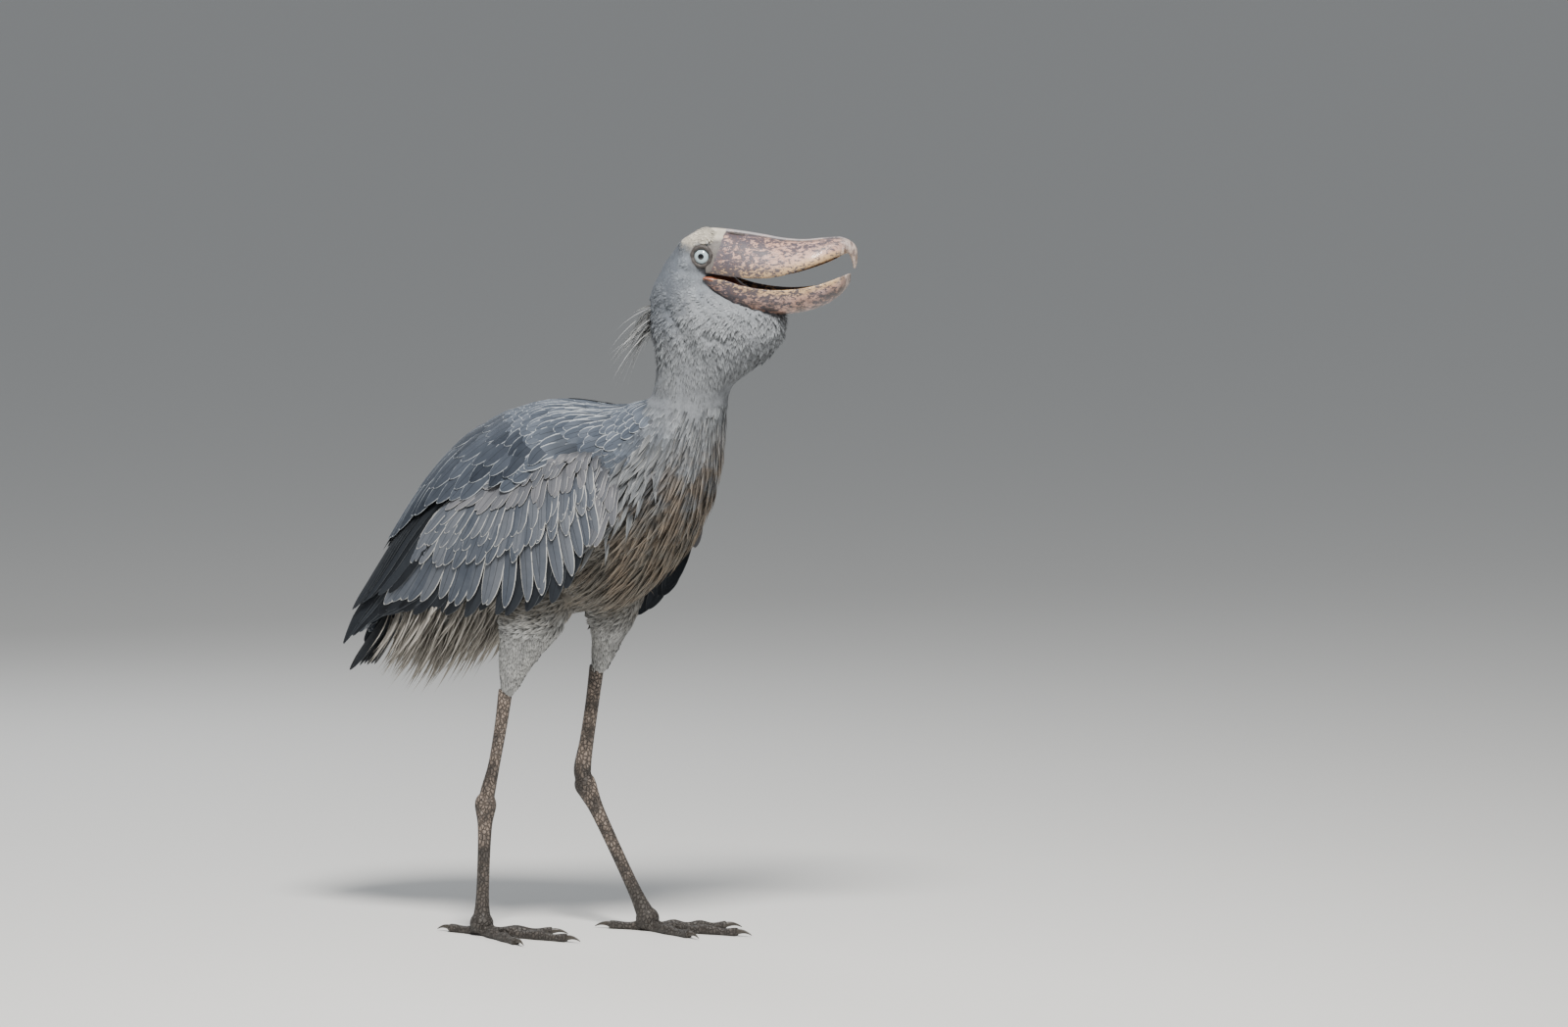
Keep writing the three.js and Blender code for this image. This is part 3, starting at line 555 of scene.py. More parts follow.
forehead = n.times(n.step(z_ragged, 1.090, 1.108), n.step(x_ragged, 0.160, 0.190))
colour = n.paint(colour, CREAM, forehead, 0.9)
wide_fleck = n.step(n.noise(n.stretched(place, (1, 1, 0.45)), 95, 4, 0.7), 0.40, 0.66)
fine_fleck = n.step(n.noise(place, 260, 3, 0.65), 0.42, 0.66)
fleck = n.math("MULTIPLY_ADD", wide_fleck, 0.6, n.times(fine_fleck, 0.4))
darker = n.mix(0.72, colour, (0.03, 0.032, 0.036))
flecks = n.times(n.times(fleck, 0.55), tint_in.outputs["Mottle"])
flecked = n.mix(flecks, colour, darker)
n.link(flecked, tint_out.inputs["Color"])


def material(name, colour, roughness, build=None, coat=0.0, shine=0.5):
    """A named material; build(nodes, shader) wires its detail."""
    made = bpy.data.materials.new(name)
    made.use_nodes = True
    shader = made.node_tree.nodes["Principled BSDF"]
    shader.inputs["Base Color"].default_value = (*colour, 1)
    shader.inputs["Roughness"].default_value = roughness
    shader.inputs["Coat Weight"].default_value = coat
    shader.inputs["Specular IOR Level"].default_value = shine
    if build:
        build(Nodes(made.node_tree), shader)
    return made


def bumped(n, shader, height, distance, strength=1.0):
    bump = n.add("ShaderNodeBump")
    n.link(height, bump.inputs["Height"])
    bump.inputs["Distance"].default_value = distance
    bump.inputs["Strength"].default_value = strength
    n.link(bump.outputs[0], shader.inputs["Normal"])


def mottled(dark, pale, scale, detail=4, rough=0.5, bump=None):
    """Wires a noise of two tones; bump holds the scale, detail and depth of the surface's grain."""

    def build(n, shader):
        spot = n.spot()
        n.link(n.mix(n.noise(spot, scale, detail, rough), dark, pale), shader.inputs["Base Color"])
        if bump:
            grain, grain_detail, depth = bump
            bumped(n, shader, n.noise(spot, grain, grain_detail), depth)

    return build


def down_skin(n, shader):
    tint = n.group(plumage_tint, Mottle=1.0)
    shadow = n.mix(0.3, tint.outputs["Color"], (0.02, 0.02, 0.022))
    bare = n.point_value("bare")
    spot = n.spot()
    wrinkle = n.mix(n.noise(spot, 150, 4, 0.65), (0.03, 0.027, 0.026), (0.12, 0.105, 0.098))
    n.link(n.mix(bare, shadow, wrinkle), shader.inputs["Base Color"])
    bumped(n, shader, n.noise(n.stretched(spot, (1, 1, 0.4)), 420, 3), 0.0008)


skin_finish = material("down_skin", NECK_GREY, 0.9, down_skin, shine=0.1)
finish_piece(skin, skin_finish, "plumage", "head", "neck", "torso", "thigh_right", "thigh_left")


# Feather making.
# A feather is a thin blade with a shaft, barbs that slant from it, and often a pale worn fringe.
# Each is laid from its root to its tip over the body, with a map across and along it for its markings.
WIDE = np.linspace(-1, 1, 7)
NARROW = np.array([-1.0, 0.0, 1.0])


def places_along(count):
    """Places from root 0 to tip 1, closer together near the tip."""
    return 1 - (1 - np.linspace(0, 1, count)) ** 1.7


def blade_outline(s, root=0.45, shoulder=0.3, tip=0.36):
    body = root + (1 - root) * smooth(0, shoulder, s)
    end = np.clip((s - (1 - tip)) / tip, 0, 1)
    return body * np.clip(1 - end**1.9, 0.001, 1) ** 0.62


def lance_outline(s, root=0.5):
    return (root + (1 - root) * smooth(0, 0.35, s)) * np.clip(1 - smooth(0.3, 1.02, s), 0.02, 1)


def blades(centre, above, half, outline, columns, camber, tilt=0.0, ragged=0.04, tone=None, bake=None):
    """Feathers from their midlines: centre and above are (feathers, stations, 3) in millimetres."""
    count, stations = centre.shape[:2]
    s = places_along(stations)
    ahead = unit(np.gradient(centre, axis=1))
    out = unit(above - centre)
    across = unit(np.cross(out, ahead))
    out = unit(np.cross(ahead, across))
    tilt = np.broadcast_to(np.radians(tilt), (count,))[:, None, None]
    across, out = across * np.cos(tilt) + out * np.sin(tilt), out * np.cos(tilt) - across * np.sin(tilt)
    width = np.broadcast_to(half, (count,))[:, None] * outline(s)[None]
    edge = 1 - ragged * rng.random((count, stations, len(columns))) * (np.abs(columns) > 0.9)
    offset = columns[None, None] * edge * width[..., None]
    sag = -camber * (columns**2)[None, None] * width[..., None]
    points = centre[:, :, None] + across[:, :, None] * offset[..., None] + out[:, :, None] * sag[..., None]
    if tone is None:
        tone = rng.random(count)
    if bake is None:
        bake = np.stack([(centre[:, 0, 0] + 400) / 900, (centre[:, 0, 2]) / 1200], -1)
    return {"points": points, "columns": columns, "tone": tone, "bake": np.clip(bake, 0.01, 0.99)}


def feather_piece(name, batches, finish, slot, *nodes):
    """Joins batches of feathers into one mesh with the maps Vane and OFBake and the attribute tone."""
    points, faces, vane, patch, tone = [], [], [], [], []
    start = 0
    for batch in batches:
        count, stations, columns = batch["points"].shape[:3]
        points.append(batch["points"].reshape(-1, 3))
        grid = np.arange(stations * columns).reshape(stations, columns)
        quad = np.stack([grid[:-1, :-1], grid[:-1, 1:], grid[1:, 1:], grid[1:, :-1]], -1).reshape(-1, 4)
        firsts = start + np.arange(count) * stations * columns
        faces.append((firsts[:, None, None] + quad[None]).reshape(-1, 4))
        u = np.broadcast_to((batch["columns"] + 1) / 2, (stations, columns))
        v = np.broadcast_to(places_along(stations)[:, None], (stations, columns))
        local = np.stack([u, v], -1).reshape(-1, 2)
        vane.append(np.tile(local, (count, 1)))
        patch.append((batch["bake"][:, None] + (local - 0.5)[None] * 0.003).reshape(-1, 2))
        tone.append(np.repeat(batch["tone"], stations * columns))
        start += count * stations * columns
    points, faces = metres(np.concatenate(points)), np.concatenate(faces)
    vane, patch, tone = np.concatenate(vane), np.concatenate(patch), np.concatenate(tone)
    mesh = bpy.data.meshes.new(name)
    mesh.vertices.add(len(points))
    mesh.vertices.foreach_set("co", points.astype(np.float32).ravel())
    mesh.loops.add(faces.size)
    mesh.loops.foreach_set("vertex_index", faces.ravel().astype(np.int32))
    mesh.polygons.add(len(faces))
    mesh.polygons.foreach_set("loop_start", np.arange(0, faces.size, 4, dtype=np.int32))
    mesh.update(calc_edges=True)
    mesh.validate()
    for label, values in (("Vane", vane), ("OFBake", patch)):
        layer = mesh.uv_layers.new(name=label)
        layer.data.foreach_set("uv", values[faces.ravel()].astype(np.float32).ravel())
    point_values(mesh, "tone", tone)
    finish_piece(placed(name, mesh), finish, slot, *nodes)


vane_marks, n, marks_in, marks_out = shader_group(
    "vane_marks",
    {"Fringe": 0.12, "Tip": 0.03, "Shaft": 0.05, "Barbs": 300.0},
    {name: "NodeSocketFloat" for name in ("Fringe", "Shaft", "Barbs", "Along")},
)
vane_map = n.add("ShaderNodeUVMap", uv_map="Vane").outputs[0]
split = n.add("ShaderNodeSeparateXYZ")
n.link(vane_map, split.inputs[0])
off_shaft = n.math("ABSOLUTE", n.math("MULTIPLY_ADD", split.outputs[0], 2.0, -1.0))
along = split.outputs[1]
fringe, tip, shaft_width = (marks_in.outputs[name] for name in ("Fringe", "Tip", "Shaft"))
rim = n.step(off_shaft, n.rest(fringe), n.math("MULTIPLY_ADD", fringe, -0.4, 1.0))
rim = n.times(rim, n.step(along, 0.1, 0.4))
tip_rim = n.step(along, n.rest(tip), n.math("MULTIPLY_ADD", tip, -0.4, 1.0))
n.link(n.math("MAXIMUM", rim, tip_rim), marks_out.inputs["Fringe"])
shaft = n.step(off_shaft, n.times(shaft_width, 0.5), shaft_width)
n.link(n.rest(shaft), marks_out.inputs["Shaft"])
slant = n.math("MULTIPLY_ADD", off_shaft, -0.18, along)
wave = n.math("MULTIPLY_ADD", n.math("SINE", n.times(slant, marks_in.outputs["Barbs"])), 0.5, 0.5)
wobble = n.noise(n.stretched(vane_map, (3, 30, 1)), 5, 2)
n.link(n.times(wave, wobble), marks_out.inputs["Barbs"])
n.link(along, marks_out.inputs["Along"])


def feather_finish(
    name, dark, pale, fringe, fringe_width, tip, shaft, barbs, rough, tinted=False, worn=0.8, root_shade=0.6
):
    """Feather material: tone from dark to pale by feather, barb lines, a shaft, a worn fringe and painted
    shade at the root.

    fringe_width, tip and shaft are shares of the blade, and the last argument is the strength of the painted
    shade at the covered root.
    A tinted feather takes its colour from its place on the body.
    """

    def build(n, shader):
        marks = n.group(vane_marks, Fringe=fringe_width, Tip=tip, Shaft=shaft, Barbs=barbs)
        tone = n.point_value("tone")
        spot = n.spot()
        own = n.math("MULTIPLY_ADD", tone, 0.7, -0.2)
        level = n.math("MULTIPLY_ADD", n.noise(spot, 40, 5, 0.65), 0.7, own, clamp=True)
        colour = n.mix(level, dark, pale)
        if tinted:
            tint = n.group(plumage_tint, Mottle=0.6)
            light = n.mix(level, (0.48, 0.48, 0.49), (1.42, 1.42, 1.40))
            colour = n.mix(1.0, tint.outputs["Color"], light, "MULTIPLY")
        deep = n.mix(0.85, colour, (0.006, 0.007, 0.008))
        # Painted shade: each feather darkens towards its root, where the feathers over it would shade it.
        root_shade_mask = n.rest(n.step(marks.outputs["Along"], 0.12, 0.8))
        colour = n.paint(colour, deep, root_shade_mask, root_shade)
        colour = n.paint(colour, deep, marks.outputs["Barbs"], 0.3)
        colour = n.paint(colour, deep, marks.outputs["Shaft"], 0.6)
        wear = n.times(marks.outputs["Fringe"], n.step(n.noise(spot, 110, 4, 0.6), 0.22, 0.5))
        colour = n.paint(colour, fringe, wear, worn)
        n.link(colour, shader.inputs["Base Color"])
        ridge = n.math("MULTIPLY_ADD", marks.outputs["Barbs"], 0.4, marks.outputs["Shaft"])
        bumped(n, shader, ridge, 0.0005, 0.7)

    return material(name, pale, rough, build, shine=0.16)


def barrel_map(along, angle, length=780):
    """Where a feather that grows on the barrel lies on the map OFBake."""
    return np.stack([along / length, 0.5 + angle / 370], -1)


def row_feathers(surface, start, end, half, lift, outline, side, stations, camber, tilt, **more):
    """Feathers on a surface from start to end, each (feathers, 2) of distance along and angle round."""
    s = places_along(stations)
    along = start[:, :1] + (end - start)[:, :1] * s
    angle = start[:, 1:] + (end - start)[:, 1:] * s
    height = np.broadcast_to(lift(s), along.shape)
    centre = surface(along, angle, height, side)
    above = surface(along, angle, height + 2.0, side)
    bake = barrel_map(start[:, 0], side * start[:, 1])
    return blades(centre, above, half, outline, WIDE, camber, tilt=side * tilt, bake=bake, **more)


# Small body feathers.
# Short overlapping feathers all over the flesh: scaly on the back, loose on the breast and belly,
# small on the neck and smallest on the face. They are scattered evenly and lie along the body.

# A grid of places over the barrel gives the way that the feathers near each place lie.
GRID_A, GRID_F = np.meshgrid(np.linspace(0, 640, 65), np.linspace(0, 180, 37), indexing="ij")
lie_points, lie_ways, lie_places = [], [], []
for lie_side in (-1, 1):
    here = body_point(GRID_A, GRID_F, 0 * GRID_A, lie_side)
    there = body_point(GRID_A + 8, GRID_F, 0 * GRID_A, lie_side)
    lie_points.append(here.reshape(-1, 3))
    lie_ways.append(unit(there - here).reshape(-1, 3))
    lie_places.append(np.stack([GRID_A, lie_side * GRID_F], -1).reshape(-1, 2))
lie_points, lie_ways, lie_places = map(np.concatenate, (lie_points, lie_ways, lie_places))
lie_tree = KDTree(len(lie_points))
for index, spot in enumerate(lie_points):
    lie_tree.insert(spot, index)
lie_tree.balance()

skin_mesh = skin.data
skin_mesh.calc_loop_triangles()
corners = np.empty(len(skin_mesh.loop_triangles) * 3, np.int32)
skin_mesh.loop_triangles.foreach_get("vertices", corners)
corners = corners.reshape(-1, 3)
skin_co, skin_no = drawn(skin_mesh), read(skin_mesh, "normal")
tri = skin_co[corners]
area = np.linalg.norm(np.cross(tri[:, 1] - tri[:, 0], tri[:, 2] - tri[:, 0]), axis=1) / 2


def spacing(points):
    """Distance between feather roots in millimetres, by place."""
    z = points[:, 2]
    gap = 7.6 - 4.0 * smooth(835, 895, z) - 1.0 * smooth(1000, 1050, z)
    return np.where((z < 500) & (points[:, 0] < 170), 4.6, gap)


def clump(points, size):
    """A smooth random field between about -1 and 1, with lumps of this size in millimetres."""
    waves = rng.normal(0, 2.0 / size, (12, 3))
    return np.sin(points @ waves.T + rng.uniform(0, 6.3, 12)).mean(1) * 2.4


def scatter(number):
    """Evenly spread roots on the skin: random candidates, kept where no earlier root is near."""
    weight = area / spacing(tri.mean(1)) ** 2
    pick = rng.choice(len(tri), number, p=weight / weight.sum())
    a, b = rng.random((2, number, 1))
    fold = a + b > 1
    a, b = np.where(fold, 1 - a, a), np.where(fold, 1 - b, b)
    shares = np.concatenate([1 - a - b, a, b], 1)[..., None]
    where = (tri[pick] * shares).sum(1)
    normal = unit((skin_no[corners[pick]] * shares).sum(1))
    gaps = spacing(where) * 0.78
    cells, kept = {}, []
    cell = 9.0
    for i, (point, gap) in enumerate(zip(where, gaps)):
        key = tuple((point // cell).astype(int))
        near = [
            j
            for dx in (-1, 0, 1)
            for dy in (-1, 0, 1)
            for dz in (-1, 0, 1)
            for j in cells.get((key[0] + dx, key[1] + dy, key[2] + dz), ())
        ]
        if near and (((where[near] - point) ** 2).sum(1) < gap * gap).any():
            continue
        cells.setdefault(key, []).append(i)
        kept.append(i)
    return where[kept], normal[kept]


CANDIDATES = 90000
roots, root_normals = scatter(CANDIDATES)
head_t, head_w, head_z = to_head(roots)
nearest = np.array([lie_tree.find(point)[1] for point in roots])
ways = lie_ways[nearest]
places = lie_places[nearest]
neck_share = smooth(820, 880, roots[:, 2])[:, None]
face_share = smooth(960, 1030, roots[:, 2])[:, None]
thigh_share = (smooth(500, 470, roots[:, 2]) * smooth(-95, -70, roots[:, 0]))[:, None]
down = np.array([0.0, 0.0, -1.0])
backwards = np.array([-math.cos(HEAD_YAW), -math.sin(HEAD_YAW), -0.45])
ways = ways * (1 - neck_share) + down * neck_share
ways = ways * (1 - face_share) + backwards * face_share
ways = ways * (1 - thigh_share) + down * thigh_share
facing_front = smooth(0.35, 0.8, -root_normals @ unit(backwards))[:, None] * neck_share
ways = ways * (1 - facing_front) + down * facing_front
swirl = np.stack([clump(roots, 26), clump(roots, 26), clump(roots, 26)], -1)
ways = unit(ways + rng.normal(0, 0.13, ways.shape) + 0.20 * swirl)
ways = unit(ways - root_normals * (ways * root_normals).sum(1, keepdims=True))

# No feathers grow by the eye, on the bill, in the mouth, low on the legs or deep under longer feathers.
eye_gap = np.hypot(head_t - EYE["t"], head_z - EYE["z"])
near_eye = (eye_gap < 19) & (np.abs(head_w) > 20) & (head_z > 1045)
bare_face = (head_t > 38) & (np.abs(head_w) > 24) & (head_z > 1060) & (head_z < 1100)
in_bill = (head_z > 1056) & (head_t > 43 + 12 * (head_z - 1054) / 67)
in_bill |= (head_z > 1012) & (head_z <= 1056) & (head_t > 52) & (np.abs(head_w) < 38)
in_mouth = (np.abs(head_z - 1050) < 6) & (head_t > 30)
angle_round = np.abs(places[:, 1])
under_wing = (angle_round > 60) & (angle_round < 104) & (places[:, 0] > 190) & (head_z < 800)
under_wing &= thigh_share[:, 0] < 0.5
under_mantle = (angle_round < 58) & (places[:, 0] > 45) & (head_z < 850)
too_low = (roots[:, 2] < 396) & (roots[:, 0] < 20) | (roots[:, 2] < 422) & (roots[:, 0] > 20)
keep = ~(near_eye | bare_face | in_bill | in_mouth | under_wing | under_mantle | too_low)
roots, root_normals, ways, places = roots[keep], root_normals[keep], ways[keep], places[keep]
thigh_share, face_share, neck_share = thigh_share[keep, 0], face_share[keep, 0], neck_share[keep, 0]


def small_feathers(choice, length, half, rise, stations, outline=blade_outline):
    """Short feathers at chosen roots, lying along their ways and lifting a little to the tip."""
    s = places_along(stations)
    reach = np.broadcast_to(length, roots.shape[:1])[choice]
    reach = reach * rng.uniform(0.75, 1.25, len(reach))
    tuft = clump(roots, 15)[choice]
    wide = np.broadcast_to(half, roots.shape[:1])[choice]
    lift = -1.0 + rise * (np.sin(np.pi / 2 * s) - 0.4 * s**2) * (1 + 0.45 * tuft[:, None])
    origin, normal, way = roots[choice], root_normals[choice], ways[choice]
    out = reach[:, None] * s
    centre = origin[:, None] + way[:, None] * out[..., None] + normal[:, None] * lift[..., None]
    # The longer ones bend with the round of the body.
    centre = centre - normal[:, None] * (out**2 / 260)[..., None] * (reach > 14)[:, None, None]
    above = centre + normal[:, None] * 2
    bake = barrel_map(*places[choice].T, length=760)
    on_head = origin[:, 2] > 868
    turn = np.arctan2(origin[:, 1] - 20, origin[:, 0] - 275)
    bake = np.where(on_head[:, None], np.stack([(origin[:, 2] - 850) / 280, 0.5 + turn / 6.4], -1), bake)
    tone = np.clip(0.5 + 0.28 * tuft + rng.normal(0, 0.2, len(reach)), 0, 1)
    return blades(centre, above, wide, outline, NARROW, 0.22, bake=bake, ragged=0.1, tone=tone)


on_body = (neck_share < 0.5) & (thigh_share < 0.5)
on_belly = on_body & (places[:, 0] > 215) & (np.abs(places[:, 1]) > 96)
on_thigh = thigh_share >= 0.5
on_neck = (neck_share >= 0.5) & (face_share < 0.5)
on_face = face_share >= 0.5
neck_length = 25 - 12 * smooth(850, 970, roots[:, 2])
small_look = {"tinted": True, "fringe": (0.40, 0.41, 0.42), "rough": 0.8}
body_finish = feather_finish(
    "body_feathers", SLATE, NECK_GREY,
    fringe_width=0.22, tip=0.06, shaft=0.07, barbs=70, worn=0.6, **small_look,
)
neck_finish = feather_finish(
    "neck_feathers", NECK_GREY, FACE_GREY,
    fringe_width=0.35, tip=0.1, shaft=0.2, barbs=40, worn=0.35, root_shade=0.7, **small_look,
)
face_finish = feather_finish(
    "face_feathers", FACE_GREY, FACE_GREY,
    fringe_width=0.35, tip=0.15, shaft=0.2, barbs=20, worn=0.25, root_shade=0.5, **small_look,
)
# [piece, where, length, half width, rise, stations, outline, finish]
for coat_name, choice, length, half, rise, stations, outline, finish in (
    ("body_coat", on_body & ~on_belly, 25, 6.5, 4.5, 7, blade_outline, body_finish),
    ("belly_coat", on_belly, 22, 3.4, 5.5, 6, lance_outline, neck_finish),
    ("neck_coat", on_neck, neck_length, 2.1, 3.2, 6, lance_outline, neck_finish),
    ("face_coat", on_face, 8.0, 1.5, 1.7, 4, blade_outline, face_finish),
    ("thigh_coat", on_thigh, 13, 2.8, 3.0, 5, blade_outline, neck_finish),
):
    coat = small_feathers(choice, length, half, rise, stations, outline)
    feather_piece(coat_name, [coat], finish, "plumage")



# Breast plumes and the fluff under the tail.
# Long loose lanceolate feathers hang from the breast, and soft brown-grey plumes from the vent.
# They are narrow, with split, wispy tips, and grow in staggered rows.
LOCK_ANGLE = 12


def plume_row(along, angles, length, side, half, lift, drop, lock):
    """Plumes side by side; lock draws their tips together into pointed locks."""
    count = len(angles)
    shift = rng.uniform(0, LOCK_ANGLE)
    gathered = np.round((angles + shift) / LOCK_ANGLE) * LOCK_ANGLE - shift
    start = np.stack([np.full(count, float(along)) + rng.uniform(-9, 9, count), angles], -1)
    reach = length * rng.uniform(0.7, 1.2, count)
    swing = lock * (gathered - angles) + rng.normal(drop, 3.0, count)
    end = start + np.stack([reach, swing], -1)
    return row_feathers(
        body_point,
        start,
        end,
        half * rng.uniform(0.7, 1.2, count),
        lambda s: -2 + lift * np.sin(np.pi / 2 * s) ** 1.2,
        lance_outline,
        side,
        stations=9,
        camber=0.35,
        tilt=rng.uniform(-25, 25, count),
        ragged=0.35,
    )


breast, breast_side = [], []
for plume_side in (-1, 1):
    for step, along in enumerate(np.arange(22, 292, 13)):
        grown = smooth(20, 130, along)
        angles = np.arange(116 + 10 * smooth(150, 260, along) + 2.5 * (step % 2), 181, 5.0)
        angles = angles + rng.normal(0, 1.2, len(angles))
        lift = 3 + 8 * grown + rng.uniform(0, 1 + 3 * grown)
        breast.append(
            plume_row(along, angles, 26 + 38 * grown, plume_side, 2.6 + grown, lift, drop=1, lock=0.8 * grown)
        )
    for step, along in enumerate(np.arange(62, 232, 12)):
        angles = np.arange(94 + 12 * smooth(150, 230, along) + 2 * (step % 2), 122, 4.5)
        angles = angles + rng.normal(0, 1.0, len(angles))
        lift = 8 + 11 * smooth(70, 150, along)
        breast_side.append(plume_row(along, angles, 50, plume_side, 5.0, lift, drop=5, lock=0.4))
plume_finish = feather_finish(
    "breast_plumes", SLATE, NECK_GREY, fringe=(0.36, 0.33, 0.28),
    fringe_width=0.3, tip=0.08, shaft=0.16, barbs=60, rough=0.8, tinted=True, worn=0.5, root_shade=0.75,
)
side_finish = feather_finish(
    "breast_side_plumes", (0.125, 0.135, 0.15), (0.27, 0.28, 0.29), fringe=(0.50, 0.50, 0.48),
    fringe_width=0.25, tip=0.06, shaft=0.12, barbs=80, rough=0.75, worn=0.75, root_shade=0.62,
)
feather_piece("breast_plumes", breast, plume_finish, "plumage")
feather_piece("breast_side_plumes", breast_side, side_finish, "plumage")

# How far the plumes under the tail reach back and down, as shares of their length
VENT_REACH = {"back": 0.42, "down": 0.92}
vent = []
for plume_side in (-1, 1):
    for along in np.arange(392, 650, 12):
        angles = np.arange(104 + rng.uniform(0, 6), 178, 9.0)
        count = len(angles)
        origin = body_point(np.full(count, along), angles, -8 + 0 * angles, plume_side)
        origin = origin + rng.normal(0, 3, origin.shape)
        s = places_along(9)
        length = 66 + 54 * smooth(400, 540, along) - 30 * smooth(590, 650, along)
        fall = length * rng.uniform(0.7, 1.1, count)[:, None] * s
        swing = -VENT_REACH["back"] * fall * (0.5 + 0.6 * s) * rng.uniform(0.7, 1.3, count)[:, None]
        sway = rng.uniform(-0.14, 0.14, count)[:, None] * fall
        centre = origin[:, None] + np.stack([swing, sway, -VENT_REACH["down"] * fall], -1)
        outwards = plume_side * 0.8 * np.sin(np.radians(angles))
        facing = np.stack([-0.8 + 0 * angles, outwards, 0.2 + 0 * angles], -1)
        bake = barrel_map(np.full(count, along), plume_side * angles)
        turned = rng.uniform(-35, 35, count)
        above = centre + facing[:, None] * 2
        half = rng.uniform(5, 9, count)
        vent.append(
            blades(centre, above, half, lance_outline, WIDE, 0.3, tilt=turned, ragged=0.4, bake=bake)
        )
vent_finish = feather_finish(
    "vent_plumes", (0.24, 0.22, 0.195), (0.46, 0.43, 0.385), fringe=(0.58, 0.55, 0.50),
    fringe_width=0.3, tip=0.1, shaft=0.2, barbs=50, rough=0.85, root_shade=0.35,
)
feather_piece("vent_plumes", vent, vent_finish, "plumage")


# Folded wings.
# Each wing is a flat arm under tiers of feathers: long primaries at the tip, secondaries, and coverts
# that get smaller towards the bend. The left wing hangs a little lower than the right.

# Degrees by which the right (-1) and the left (1) wing hang down at the shoulder
DROOP = {-1: 0.0, 1: 17.0}
WING_START, WING_END = 140.0, 752.0


def wing_point(along, angle, lift, side):
    """Over the back the wing follows the body, and below the flank it hangs straight."""
    sag = DROOP[side] * (1 - 0.75 * (along - WING_START) / (WING_END - WING_START))
    turned = angle + sag
    over = body_point(along, np.minimum(turned, 90), lift, side)
    bx, bz, fx, fz, half = body_section(along)
    depth = np.hypot(fx - bx, fz - bz) / 2
    past = np.radians(np.maximum(turned - 90, 0))
    reach = 0.9 * past * depth
    dx, dz = (fx - bx) / (2 * depth), (fz - bz) / (2 * depth)
    across = side * (half + lift) * (1 - 0.1 * past**2)
    hang = np.stack([(bx + fx) / 2 + dx * reach, across, (bz + fz) / 2 + dz * reach], -1)
    return np.where((turned > 90)[..., None], hang, over)


# [distance along the body, angle of the arm's upper edge, angle of its lower edge]
arm_edges = keyed(
    [
        [140, 86, 104],
        [170, 76, 114],
        [240, 68, 117],
        [330, 62, 116],
        [430, 56, 108],
        [520, 51, 96],
        [590, 50, 84],
    ]
)


def wing_arm(side):
    rings = []
    for i, along in enumerate(np.linspace(WING_START + 6, 588, 24)):
        upper, lower = arm_edges(along)
        share = np.linspace(0, 1, 10)
        bulge = min(1, (i + 0.8) / 4) * min(1, (23.8 - i) / 6)
        lift = 4 + 4 * bulge * np.sin(np.pi * share)
        angle = upper + (lower - upper) * share
        outer = wing_point(np.full(10, along), angle, lift, side)
        inner = wing_point(np.full(10, along), angle[::-1], np.full(10, 1.0), side)
        rings.append(np.concatenate([outer, inner]))
    return loft(rings)


def line(rows, u):
    return np.stack(keyed(rows)(u), -1)


